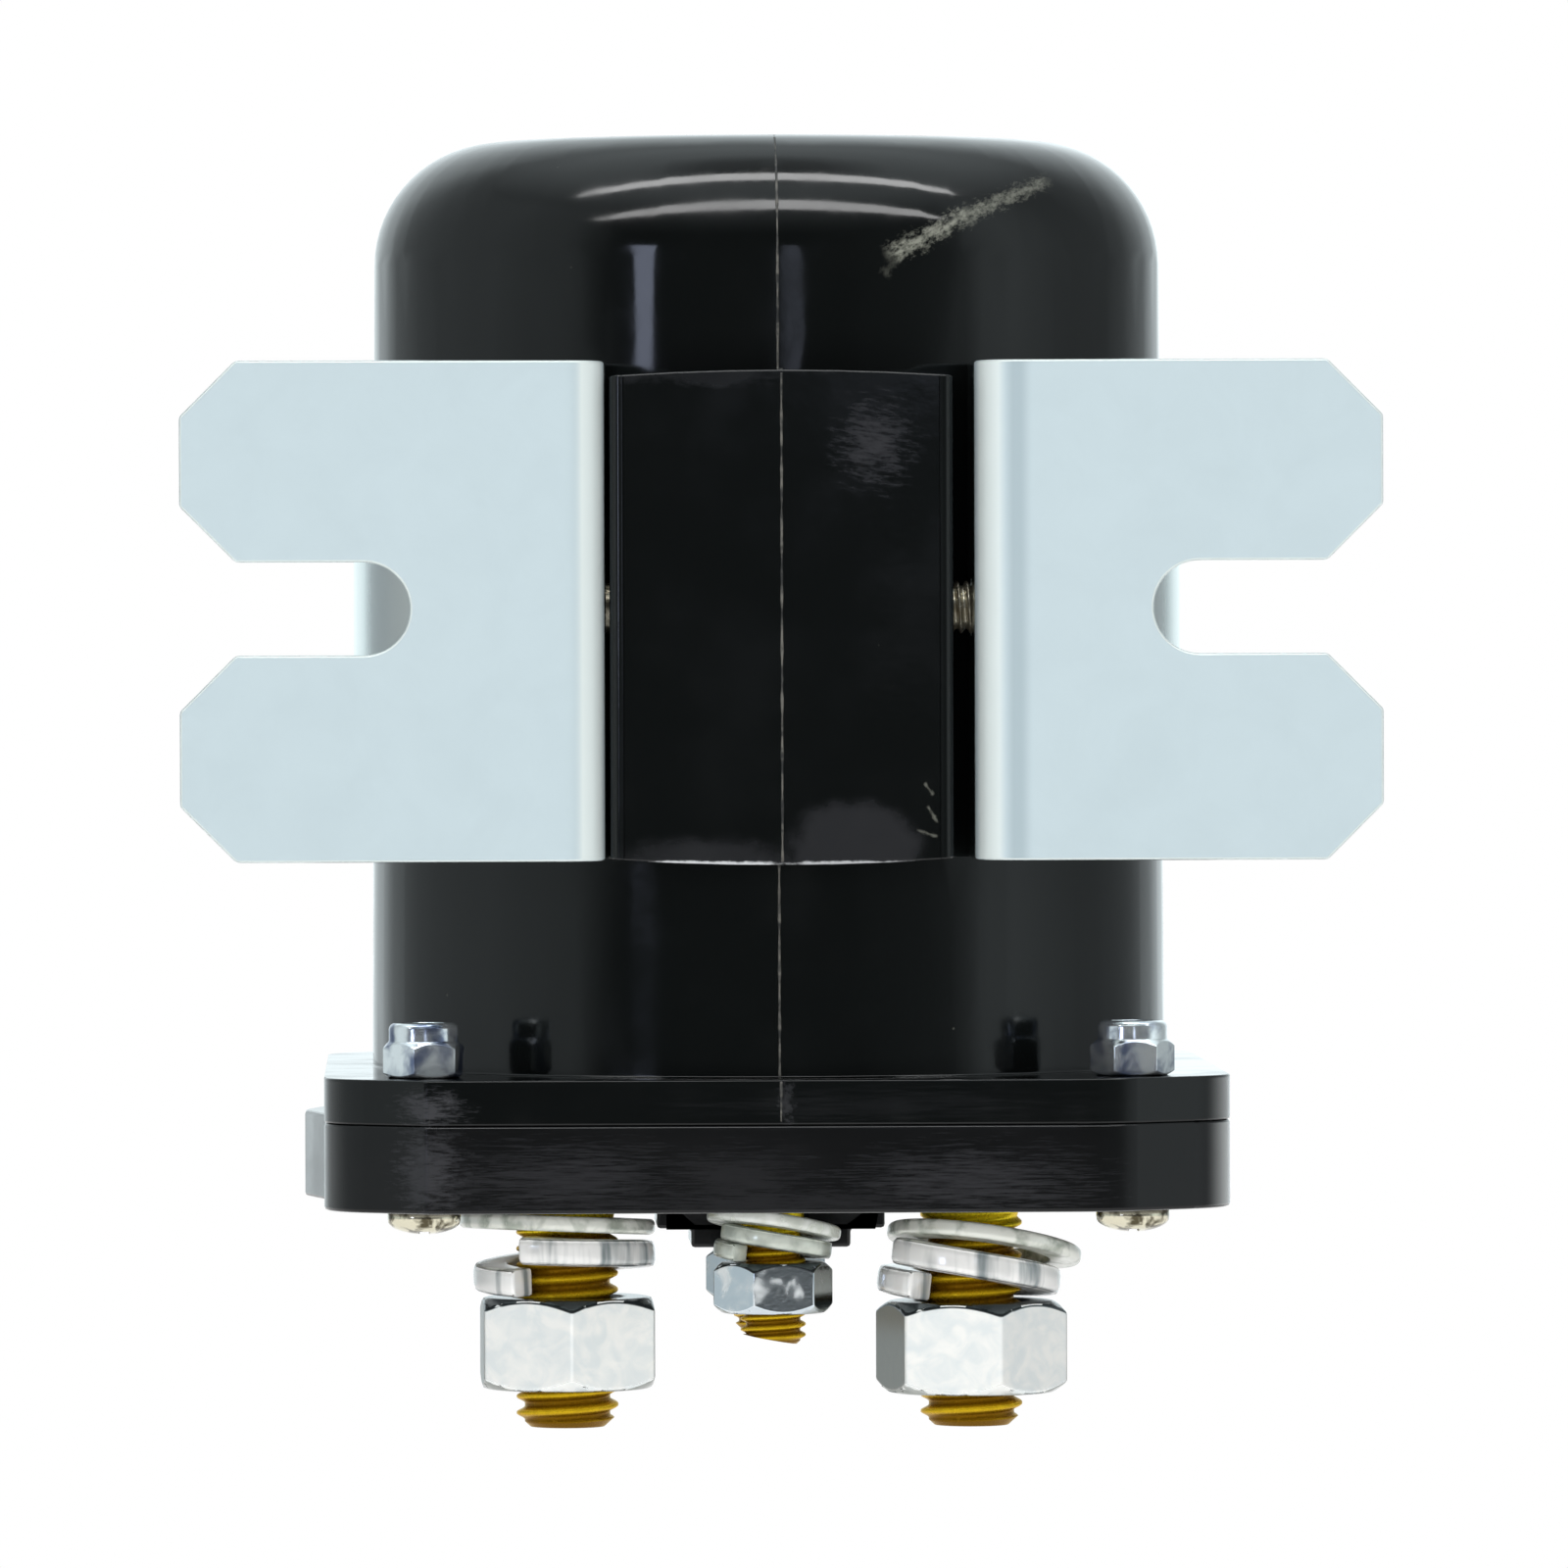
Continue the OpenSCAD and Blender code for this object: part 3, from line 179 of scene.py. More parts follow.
class Paint(Nodes):
    """A material. Lengths in its patterns are in millimetres."""

    def __init__(self, name, metallic=0.0, roughness=0.5, ior=1.45):
        self.material = bpy.data.materials.new(name)
        self.material.use_nodes = True
        super().__init__(self.material.node_tree)
        self.shader = self.tree.nodes["Principled BSDF"]
        self.set(self.shader, {"Metallic": metallic, "Roughness": roughness, "IOR": ior})
        self.normal = None

    def place(self, centre=(0, 0, 0), turn=(0, 0, 0), size=(1, 1, 1)):
        """Position in millimetres, seen from a box at centre, turned and of that size."""
        spot = self.add("ShaderNodeTexCoord", out=3)
        spot = self.add("ShaderNodeVectorMath", {0: spot, "Scale": 1 / MM}, operation="SCALE")
        return self.add("ShaderNodeMapping", {"Vector": spot, "Location": centre, "Rotation": turn,
                                              "Scale": size}, vector_type="TEXTURE")

    def parts(self, vector=None):
        """X, Y and Z of a vector, or of the position."""
        return self.sockets("ShaderNodeSeparateXYZ", {0: vector or self.place()})

    def facing(self):
        """X, Y and Z of the direction that the surface faces."""
        return self.parts(self.add("ShaderNodeNewGeometry", out=1))

    def glance(self, low, high):
        """Share that rises from 0 to 1 as the surface turns its side to the viewer."""
        return self.span(self.add("ShaderNodeLayerWeight", {"Blend": 0.5}, out=1), low, high)

    def noise(self, size, detail=2.0, rough=0.5, where=None, twist=0.0):
        return self.add("ShaderNodeTexNoise", {"Vector": where or self.place(), "Scale": 1 / size,
                                               "Detail": detail, "Roughness": rough, "Distortion": twist})

    def span(self, value, low, high, to_low=0.0, to_high=1.0):
        return self.add("ShaderNodeMapRange", {"Value": value, "From Min": low, "From Max": high,
                                               "To Min": to_low, "To Max": to_high},
                        interpolation_type="SMOOTHSTEP")

    def mix(self, share, first, second):
        first, second = [c if isinstance(c, bpy.types.NodeSocket) else (*c, 1.0) for c in (first, second)]
        return self.add("ShaderNodeMix", {0: share, 6: first, 7: second}, out=2, data_type="RGBA")

    def bump(self, height, depth):
        """Adds relief of that depth in millimetres."""
        values = {"Height": height, "Distance": depth * MM, "Strength": 1.0}
        if self.normal:
            values["Normal"] = self.normal
        self.normal = self.add("ShaderNodeBump", values)
        self.set(self.shader, {"Normal": self.normal})

    def finish(self, **values):
        self.set(self.shader, {key.replace("_", " "): value for key, value in values.items()})
        return self.material

    def finish_with(self, light):
        """Ends the material with another shader than its own."""
        self.set(self.tree.nodes["Material Output"], {"Surface": light})
        return self.material


def streak_mask(paint, start, end, width):
    """Share of a worn streak between two points [X, Z] on the side that the ears are on."""
    dx, dz = end[0] - start[0], end[1] - start[1]
    turn = (0, -math.atan2(dz, dx), 0)
    fleck_size, front_depth = (0.55, 1.0, 0.34), 4
    box = paint.place((start[0], 0, start[1]), turn, (math.hypot(dx, dz), 1, width))
    along, deep, across = paint.parts(box)
    grain = paint.noise(1.0, 4.0, 0.75, paint.place(turn=turn, size=fleck_size))
    edge = paint.math("SUBTRACT", paint.span(grain, 0.28, 0.72, 1.35, 0.1), paint.math("ABSOLUTE", across))
    first_end = paint.span(along, -0.02, 0.16)
    last_end = paint.span(along, 1.02, 0.86)
    front = paint.span(deep, AXIS_Y / MM, AXIS_Y / MM - front_depth)
    return paint.times(paint.span(edge, -0.35, 1.15), first_end, last_end, front)


def patch_mask(paint, centre, size, stroke=(1.0, 1.0, 1.0), soft=1.1, turn=0.0, ragged=1.0):
    """Share of a rubbed patch about a point [X, Y, Z], made of strokes of that size."""
    turn = (0, turn, 0)
    spot = paint.place(centre, turn, size)
    away = paint.add("ShaderNodeVectorMath", {0: spot}, out=1, operation="LENGTH")
    rub = paint.noise(1.0, 6.0, 0.72, paint.place(turn=turn, size=stroke))
    near = paint.math("ADD", away, paint.span(rub, 0.25, 0.75, 0.7 * ragged, -0.5 * ragged))
    outline = 1.1
    return paint.span(near, outline, outline - soft)


def strongest(paint, *masks):
    """Largest of several masks, each given with its strength."""
    return paint.most(*[paint.times(mask, strength) for mask, strength in masks])


def painted_sheen_mask(paint):
    """Share of a painted sheen, a painted reflection, on upright faces that are seen at a glance, stronger
    towards +X.
    """
    upright = paint.span(paint.math("ABSOLUTE", paint.facing()[2]), 0.5, 0.2)
    sheen_side = paint.span(paint.parts()[0], -25, 25, 0.22, 1.0)
    return paint.times(paint.glance(0.30, 0.88), sheen_side, upright)


def gloss_plastic():
    """Glossy moulded black with the photo's scuffs on the dome, the pad and the flange."""
    paint = Paint("housing_plastic", ior=1.40)
    strokes = (1.6, 1.0, 0.35)
    # Two streaks on the dome with a faint hook at their lower end, and three short strokes on the pad
    scuffs = strongest(
        paint,
        (streak_mask(paint, (8.0, 25.8), (14.8, 29.5), 0.85), 0.85),
        (streak_mask(paint, (13.4, 28.8), (20.9, 32.0), 0.72), 0.70),
        (streak_mask(paint, (7.9, 24.4), (9.0, 26.3), 0.50), 0.14),
        (streak_mask(paint, (10.4, -12.8), (11.1, -13.8), 0.16), 0.40),
        (streak_mask(paint, (10.6, -14.5), (11.4, -15.8), 0.16), 0.40),
        (streak_mask(paint, (9.8, -16.3), (11.4, -16.8), 0.16), 0.35),
    )
    # Five rubbed places on the pad and three on the flange's front
    haze = strongest(
        paint,
        (patch_mask(paint, (6.8, PAD_Y, 12.0), (3.4, 3.0, 4.0), strokes, turn=0.12), 0.66),
        (patch_mask(paint, (9.0, PAD_Y, -1.0), (3.6, 3.0, 9.0), strokes, turn=0.1), 0.05),
        (patch_mask(paint, (5.4, PAD_Y, -18.0), (5.2, 3.0, 4.2), (7, 1, 7), 0.4, ragged=0.3), 0.42),
        (patch_mask(paint, (-4.6, PAD_Y, -18.9), (8.5, 3.0, 2.6), (7, 1, 5), 0.6, ragged=0.4), 0.36),
        (patch_mask(paint, (-4.0, PAD_Y, 17.2), (7.5, 3.0, 1.2), (5, 1, 2), 0.5), 0.20),
        (patch_mask(paint, (8.0, FLANGE_Y, -36.6), (18.0, 2.0, 1.6), (4, 1, 0.2)), 0.14),
        (patch_mask(paint, (-26.6, FLANGE_Y, -36.8), (4.0, 2.0, 1.7), (1.2, 1, 0.24), 0.9, ragged=0.8), 1.0),
        (patch_mask(paint, (0.4, FLANGE_Y, -36.4), (0.8, 2.0, 2.4), (0.7, 1, 0.5)), 0.55),
    )
    # Lower edge of the pad, left and right
    worn = strongest(
        paint,
        (patch_mask(paint, (-6.4, PAD_Y, -18.8), (7.2, 0.9, 0.31), (1.5, 1, 1), 0.5, ragged=0.5), 1.0),
        (patch_mask(paint, (5.6, PAD_Y, -18.8), (6.6, 0.9, 0.29), (1.5, 1, 1), 0.6, ragged=0.6), 0.75),
    )
    dust = paint.add("ShaderNodeTexVoronoi", {"Vector": paint.place(), "Scale": 0.2})
    specks = paint.times(paint.span(dust, 0.03, 0.012), 0.16)
    flange_sheen = paint.span(paint.parts()[2], FLANGE_TOP / MM - 0.05, FLANGE_TOP / MM - 0.3, 0.0, 0.7)
    colour = paint.mix(haze, BLACK_GLOSS, HAZE)
    colour = paint.mix(paint.most(scuffs, specks), colour, SCUFF_GREY)
    colour = paint.mix(worn, colour, WORN_EDGE)
    # Painted sheen on the flange's upright faces seen at a glance
    colour = paint.mix(paint.times(painted_sheen_mask(paint), flange_sheen), colour, PAINTED_SHEEN_GREY)
    smear = paint.span(paint.noise(7.0, 4.0, 0.6), 0.4, 0.75, 0.075, 0.15)
    rough = paint.math("ADD", smear, paint.times(paint.most(scuffs, haze), 0.25))
    paint.bump(paint.noise(1.3, 2.0, 0.5), 0.004)
    paint.bump(paint.noise(11.0, 1.0, 0.4), 0.015)
    return paint.finish(Base_Color=colour, Roughness=rough)


def satin_plastic():
    """Less glossy black of the cap, hazy with fine strokes along its front."""
    paint = Paint("cap_plastic", ior=1.37)
    cloud = paint.noise(5.0, 4.0, 0.6, paint.place(size=(3, 3, 1)))
    strokes = (2.6, 1.0, 0.16)
    haze = strongest(
        paint,
        (patch_mask(paint, (-26.8, FLANGE_Y, -41.4), (4.6, 2.0, 4.2), (1.2, 1, 0.24), 0.9, ragged=0.8), 0.9),
        (patch_mask(paint, (-16.0, FLANGE_Y, -42.0), (11.0, 2.5, 3.4), strokes), 0.50),
        (patch_mask(paint, (-3.0, FLANGE_Y, -42.0), (9.0, 2.5, 3.4), strokes), 0.25),
        (patch_mask(paint, (14.0, FLANGE_Y, -42.3), (12.0, 2.5, 3.2), strokes), 0.62),
        (patch_mask(paint, (0.0, FLANGE_Y, -43.8), (28.0, 2.5, 1.5), strokes), 0.30),
    )
    colour = paint.mix(haze, paint.mix(cloud, BLACK_SATIN, SATIN_CLOUD), HAZE)
    # Painted sheen on the cap's upright faces seen at a glance
    colour = paint.mix(painted_sheen_mask(paint), colour, PAINTED_SHEEN_GREY)
    rough = paint.math("ADD", paint.span(cloud, 0.35, 0.75, 0.12, 0.19), paint.times(haze, 0.12))
    paint.bump(paint.noise(0.9, 3.0, 0.6), 0.005)
    return paint.finish(Base_Color=colour, Roughness=rough)


def flash_plastic():
    """Dull broken ridge where the halves of the mould met."""
    paint = Paint("parting_flash", roughness=0.55)
    gaps = paint.span(paint.noise(1.6, 4.0, 0.75), 0.40, 0.62)
    paint.bump(paint.noise(0.25, 2.0, 0.6), 0.03)
    return paint.finish(Base_Color=paint.mix(gaps, FLASH_DARK, FLASH_GREY))


def plated(name, colour, dark, metallic, rough, mottle=0.8, relief=0.004, edge=0.2, level=0.5, tall=1.0):
    """Plated steel, clouded in colour and gloss. A small edge makes its clouds as crisp as reflections; on
    the spring washers, the corner screws and the lock nuts these clouds are painted reflections.
    """
    paint = Paint(name, metallic=metallic)
    cloud = paint.noise(mottle, 3.0, 0.5, paint.place(size=(1, 1, tall)), twist=0.3)
    paint.bump(paint.noise(0.24, 3.0, 0.7), relief)
    return paint.finish(Base_Color=paint.mix(paint.span(cloud, level - edge, level + edge), dark, colour),
                        Roughness=paint.span(cloud, 0.3, 0.7, rough * 1.25, rough * 0.8))


def zinc_sheet():
    """Zinc-plated strip: silky and bluish, with a painted highlight where it is bent or cut and at a glance,
    where it is also glossy, and a painted shade beside the right ear's bend.
    """
    paint = Paint("zinc_plate")
    cloud = paint.noise(5.0, 5.0, 0.6, twist=0.6)
    dull, clear = [tuple(factor * c for c in ZINC_BLUE) for factor in (0.95, 1.04)]
    x = paint.parts()[0]
    # Painted shade: a darker line beside the right ear's bend
    band = paint.times(paint.span(x, 16.2, 17.0), paint.span(x, 18.4, 17.4), 0.8)
    flat = paint.math("ABSOLUTE", paint.facing()[1])
    rounded = paint.times(paint.span(flat, 0.985, 0.90), paint.span(flat, 0.25, 0.55))
    grazing = paint.glance(0.6, 0.85)
    shade = paint.mix(band, paint.mix(cloud, dull, clear), ZINC_PAINTED_SHADE)
    # Painted highlight on faces that turn away from the flat, at the bends and cut edges
    shade = paint.mix(rounded, shade, ZINC_PAINTED_HIGHLIGHT)
    rough = paint.times(paint.span(cloud, 0.3, 0.7, 0.46, 0.36), paint.span(grazing, 0, 1, 1.0, 0.3))
    paint.bump(paint.noise(0.24, 3.0, 0.7), 0.002)
    # Painted sheen at a glance, where the strip also turns glossy and metallic
    return paint.finish(Base_Color=paint.mix(grazing, shade, ZINC_PAINTED_HIGHLIGHT), Roughness=rough,
                        Metallic=paint.span(grazing, 0, 1, 0.12, 1.0))


def turned_nut(name, colour, dark, metal, mottle, rough=0.30, edge=0.2, level=0.5, detail=5.0, twist=1.2):
    """Plated nut: silky flats with a painted dark reflection at a glance, and shinier turned chamfers with
    painted shade on top.

    Metal is its metallic share in the dark and in the pale clouds.
    """
    paint = Paint(name)
    cloud = paint.span(paint.noise(mottle, detail, 0.5, twist=twist), level - edge, level + edge)
    up = paint.facing()[2]
    turned = paint.span(paint.math("ABSOLUTE", up), 0.15, 0.45)
    shade = paint.mix(cloud, dark, colour)
    # Painted dark reflection on flats seen at a glance
    shade = paint.mix(paint.times(paint.glance(0.45, 0.72), 0.9), shade, NUT_PAINTED_DARK_REFLECTION)
    # Painted shade and dark reflection of the cap above on upward chamfers
    shade = paint.mix(paint.span(up, 0.12, 0.40), shade, CHAMFER_PAINTED_SHADE)
    paint.bump(paint.noise(0.3, 3.0, 0.6), 0.006)
    return paint.finish(Base_Color=shade, Roughness=paint.span(turned, 0, 1, rough, 0.18),
                        Metallic=paint.span(turned, 0, 1, paint.span(cloud, 0, 1, *metal), 0.85))


def thread_brass(name, crest_r, root_r):
    """Brass with painted shade down in the thread. The piece's own Z axis is the axis of the thread."""
    paint = Paint(name, metallic=0.55)
    x, y, z = paint.parts()
    radius = paint.math("SQRT", paint.math("ADD", paint.times(x, x), paint.times(y, y)))
    cloud = paint.noise(0.6, 4.0, 0.6)
    crest = paint.span(radius, root_r / MM, crest_r / MM)
    crest = paint.times(crest, paint.span(cloud, 0.25, 0.6, 0.75, 1.0))
    # Painted shade towards the thread's root
    colour = paint.mix(crest, BRASS_ROOT_PAINTED_SHADE, BRASS_GOLD)
    colour = paint.mix(paint.span(z, SHANK_Z / MM - 0.4, SHANK_Z / MM + 0.1), colour, BRASS_PLAIN)
    paint.bump(paint.noise(0.18, 3.0, 0.6), 0.006)
    return paint.finish(Base_Color=colour, Roughness=paint.span(cloud, 0.3, 0.7, 0.34, 0.22),
                        Specular_Tint=(*BRASS_GLINT, 1.0))


def matte(name, colour, dark):
    """Dull moulded or pressed material, softly clouded."""
    paint = Paint(name)
    cloud = paint.noise(2.5, 4.0, 0.6)
    paint.bump(paint.noise(0.3, 3.0, 0.6), 0.01)
    return paint.finish(Base_Color=paint.mix(cloud, dark, colour),
                        Roughness=paint.span(cloud, 0.3, 0.7, 0.65, 0.45))


def wound_copper():
    """Enamelled wire laid turn beside turn round the axis of the coil."""
    paint = Paint("enamelled_copper", metallic=0.7)
    turns = paint.add("ShaderNodeTexWave", {"Vector": paint.place(), "Scale": 0.6, "Distortion": 0.3,
                                            "Detail": 1.0}, wave_type="BANDS", bands_direction="Z", out=1)
    paint.bump(turns, 0.15)
    # Painted shade in the grooves between turns
    return paint.finish(Base_Color=paint.mix(turns, WIRE_PAINTED_SHADE, WIRE_PALE), Roughness=0.35)


# Looks by material slot. After its name, a plated look has its pale and its dark colour, and then its
# metallic share and roughness
materials = {
    "housing_plastic": gloss_plastic(),
    "cap_plastic": satin_plastic(),
    "zinc_plate": zinc_sheet(),
    "zinc_bolt": plated("zinc_bolt", (0.50, 0.47, 0.38), (0.22, 0.19, 0.13), 0.8, 0.3),
    "bright_nut": turned_nut("bright_nut", ZINC_WHITE, ZINC_SHADE, (0.05, 0.05), 2.0),
    "flat_washer_steel": plated("flat_washer_steel", (0.93, 0.95, 0.87), (0.46, 0.50, 0.43), 0.25, 0.22,
                                mottle=1.6, relief=0.0015, edge=0.13, level=0.46),
    # Tall crisp clouds: painted reflections in upright bands on the spring washers
    "spring_washer_steel": plated("spring_washer_steel", (1.0, 1.0, 0.98), (0.26, 0.30, 0.31), 0.16, 0.13,
                                  mottle=1.9, relief=0.001, edge=0.10, level=0.40, tall=8.0),
    # Crisp dark clouds: painted reflections on the screws' heads
    "screw_nickel": plated("screw_nickel", NICKEL_WARM, (0.10, 0.085, 0.05), 0.85, 0.13,
                           mottle=1.1, relief=0.001, edge=0.09, level=0.49),
    # Crisp dark blue clouds: painted reflections of the black body on the lock nuts
    "lock_nut_zinc": plated("lock_nut_zinc", (0.92, 0.98, 1.0), (0.15, 0.19, 0.30), 0.85, 0.15,
                            mottle=2.4, relief=0.001, edge=0.14, level=0.46),
    "nylon": matte("nylon", (0.78, 0.76, 0.68), (0.62, 0.60, 0.52)),
    "bobbin_plastic": matte("bobbin_plastic", (0.75, 0.71, 0.58), (0.66, 0.61, 0.48)),
    "enamelled_copper": wound_copper(),
    "magnet_iron": plated("magnet_iron", (0.46, 0.48, 0.50), (0.32, 0.34, 0.36), 0.9, 0.4, mottle=3.0),
    "guide_brass": plated("guide_brass", (0.70, 0.50, 0.12), (0.50, 0.34, 0.07), 0.95, 0.3, mottle=2.0),
    "stud_brass": thread_brass("stud_brass", M8_CREST, M8_ROOT),
    "spring_steel": plated("spring_steel", (0.55, 0.57, 0.60), (0.34, 0.36, 0.39), 0.95, 0.3),
    "insulator": matte("insulator", (0.55, 0.48, 0.28), (0.42, 0.34, 0.18)),
    "contact_copper": plated("contact_copper", (0.80, 0.38, 0.20), (0.55, 0.22, 0.10), 0.95, 0.32,
                             mottle=2.5),
}
# Looks of pieces that differ from the rest of their slot, by the start of their name
own_looks = {
    "coil_stud": thread_brass("coil_stud_brass", M5_CREST, M5_ROOT),
    "coil_nut": turned_nut("mirror_nut", (0.90, 0.94, 0.94), (0.68, 0.75, 0.80), (0.98, 0.25), 1.9,
                           rough=0.12, edge=0.13, level=0.65, detail=2.0, twist=0.4),
    "coil_washer": plated("pale_washer", (0.94, 0.97, 0.92), (0.66, 0.70, 0.62), 0.2, 0.25,
                          mottle=1.4, relief=0.0015),
    "coil_spring_washer": plated("dull_washer", (0.70, 0.75, 0.67), (0.40, 0.44, 0.39), 0.25, 0.2,
                                 mottle=1.6, relief=0.0015),
}
# Widths of the rounded edges in millimetres, by the start of a node's name
EDGE_WIDTHS = {
    "housing": 0.16, "terminal_cap": 0.28, "strap_bracket": 0.24,
    "power_nut": 0.22, "power_spring_washer": 0.30, "power_washer": 0.15,
    "coil_nut": 0.12, "coil_spring_washer": 0.22, "coil_washer": 0.12,
    "lock_nut_front": 0.08, "lock_nut_rear": 0.08, "cross_nut": 0.1,
}
slot_of = {row["node"]: row["material_slot"] for row in frame["record"]["subparts"]}


def look_of(node):
    return by_start(own_looks, node, materials[slot_of[node]])


def corner_joiner():
    """Node group that joins a mesh's split corners and shades it smooth."""
    group = bpy.data.node_groups.new("join_corners", "GeometryNodeTree")
    for way in ("INPUT", "OUTPUT"):
        group.interface.new_socket("Geometry", in_out=way, socket_type="NodeSocketGeometry")
    growing = Nodes(group)
    last = growing.add("NodeGroupInput")
    last = growing.add("GeometryNodeMergeByDistance", {0: last, "Distance": 0.001 * MM})
    last = growing.add("GeometryNodeRemoveAttribute", {0: last, "Name": "custom_normal"})
    last = growing.add("GeometryNodeSetShadeSmooth", {0: last, "Shade Smooth": True})
    growing.sockets("NodeGroupOutput", {0: last})
    return group


join_corners = corner_joiner()


def round_edges(piece, width):
    """Rounds the sharp edges of a piece by width, in millimetres."""
    flat_angle, sharp_angle = math.radians(0.6), math.radians(32)
    join = piece.modifiers.new("join", "NODES")
    join.node_group = join_corners
    flat = piece.modifiers.new("flat", "DECIMATE")
    flat.decimate_type = "DISSOLVE"
    flat.angle_limit = flat_angle
    bevel = piece.modifiers.new("bevel", "BEVEL")
    bevel.width = width * MM
    bevel.segments = 2
    bevel.limit_method = "ANGLE"
    bevel.angle_limit = sharp_angle
    bevel.use_clamp_overlap = False
    even = piece.modifiers.new("even", "WEIGHTED_NORMAL")
    even.mode = "FACE_AREA_WITH_ANGLE"
    even.weight = 60


def dress_cad_nodes():
    for name, piece in nodes.items():
        piece.data.materials.clear()
        piece.data.materials.append(look_of(name))
        width = by_start(EDGE_WIDTHS, name)
        if width:
            round_edges(piece, width)


def link_mesh(name, points, faces, material):
    """New object with a mesh of those points and faces."""
    mesh = bpy.data.meshes.new(name)
    mesh.from_pydata(points, [], faces)
    mesh.materials.append(material)
    piece = bpy.data.objects.new(name, mesh)
    bpy.context.scene.collection.objects.link(piece)
    return piece


def make_piece(name, points, faces, material, place=Matrix.Identity(4), body="root"):
    """Smooth piece of the scene's own that rides on a body of the object."""
    piece = link_mesh(name, points, faces, material)
    piece.data.polygons.foreach_set("use_smooth", [True] * len(faces))
    piece.data.update()
    piece.matrix_world = place
    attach(piece, body)
    return piece


def stand_in(name, node, points, faces, place, body="root"):
    """Piece that is shown in place of a CAD node, with that node's slot and look."""
    piece = make_piece(name, points, faces, look_of(node), place, body)
    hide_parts(node)
    return piece


def strip_faces(start, rows, around):
    """Faces between rows of points, each row a closed loop. The first point has the number start."""
    faces = []
    for i in range(rows - 1):
        low = start + i * around
        for j in range(around):
            k = (j + 1) % around
            faces.append((low + j, low + k, low + around + k, low + around + j))
    return faces


def tube_faces(start, rows, around):
    """Faces between such rows, and one across either end."""
    last = start + (rows - 1) * around
    ends = [tuple(reversed(range(start, start + around))), tuple(range(last, last + around))]
    return strip_faces(start, rows, around) + ends


def lathe(rings, around):
    """Closed skin through rings from the bottom up, with a point in the middle of either end.

    A ring is a radius and a height. The radius is a number or a function of the angle, and the height
    is a number or a function of the angle and the radius.
    """
    points = []
    for radius, height in rings:
        for j in range(around):
            angle = 2 * math.pi * j / around
            r = radius(angle) if callable(radius) else radius
            z = height(angle, r) if callable(height) else height
            points.append((r * math.cos(angle), r * math.sin(angle), z))
    faces = strip_faces(0, len(rings), around)
    last = len(points)
    points.append((0, 0, sum(p[2] for p in points[:around]) / around))
    points.append((0, 0, sum(p[2] for p in points[last - around:last]) / around))
    for j in range(around):
        k = (j + 1) % around
        faces.append((last, k, j))
        faces.append((last + 1, last - around + j, last - around + k))
    return points, faces


def thread(crest_r, root_r, pitch, z, limit):
    """Radius at height z of a right-hand thread, up to a limit, as a function of the angle."""
    half_crest, flank = 0.10, 0.72

    def radius(angle):
        phase = (z / pitch - angle / (2 * math.pi)) % 1.0
        away = abs(phase - 0.5) * 2
        return min(limit, crest_r - (crest_r - root_r) * smooth((away - half_crest) / flank))
    return radius


def thread_rings(crest_r, root_r, pitch, low, high, lead_in, run_out=math.inf, steps=13):
    """Rings of a shank, chamfered by lead_in at its low end, whose thread ends at the height run_out."""
    depth = crest_r - root_r
    chamfer_slope, plain_depth, run_out_rise = 1.1, 0.3 * depth, 0.55 * depth
    count = math.ceil((high - low) / pitch * steps)
    rings = []
    for i in range(count + 1):
        z = low + (high - low) * i / count
        plain = smooth((z - run_out) / pitch)
        limit = root_r - lead_in + (z - low) * chamfer_slope
        if plain < 1:
            rings.append((thread(crest_r, root_r + run_out_rise * plain, pitch, z, limit), z))
        else:
            rings.append((min(limit, crest_r - plain_depth), z))
    return rings


def flats(radius, half_width, count):
    """Outline of a round bar of that radius with flats at half_width from its middle."""
    def outline(angle):
        step = 2 * math.pi / count
        off = (angle + math.pi / 2 + step / 2) % step - step / 2
        return min(radius, half_width / max(math.cos(off), 0.01))
    return outline


def snipped(z, end, crest_r, rise):
    """Height z, but no lower than a slant that rises from the end at -X of the crest."""
    return lambda angle, r: max(z, end + (crest_r - r * math.cos(angle)) * rise)


def stud(node, crest_r, root_r, pitch, head, head_height, snip=0.0):
    """Threaded terminal stud with its head inside the cap. Snip is the slant of its lower end in degrees."""
    low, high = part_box(node)
    rise = math.tan(math.radians(snip))
    lead_in = 0.42 * MM
    rings = [(r, snipped(z, low.z, crest_r, rise))
             for r, z in thread_rings(crest_r, root_r, pitch, low.z, HEAD_LOW, lead_in, SHANK_Z)]
    rings += [(head, HEAD_LOW), (head, HEAD_LOW + head_height)]
    points, faces = lathe(rings, 72)
    place = Matrix.Translation(((low.x + high.x) / 2, (low.y + high.y) / 2, 0))
    stand_in("threaded_" + node, node, points, faces, place)


def build_studs():
    """Power studs M8 and coil studs M5. The front coil stud was cut off at a slant."""
    power_head = flats(7.5 * MM, 6.0 * MM, 2)
    for side in ("left", "right"):
        stud("power_stud_" + side, M8_CREST, M8_ROOT, 1.25 * MM, power_head, 3.0 * MM)
    coil_head = flats(4.5 * MM, 3.9 * MM, 6)
    for side, snip in (("front", 10.5), ("rear", 0.0)):
        stud("coil_stud_" + side, M5_CREST, M5_ROOT, 0.8 * MM, coil_head, 2.0 * MM, snip)


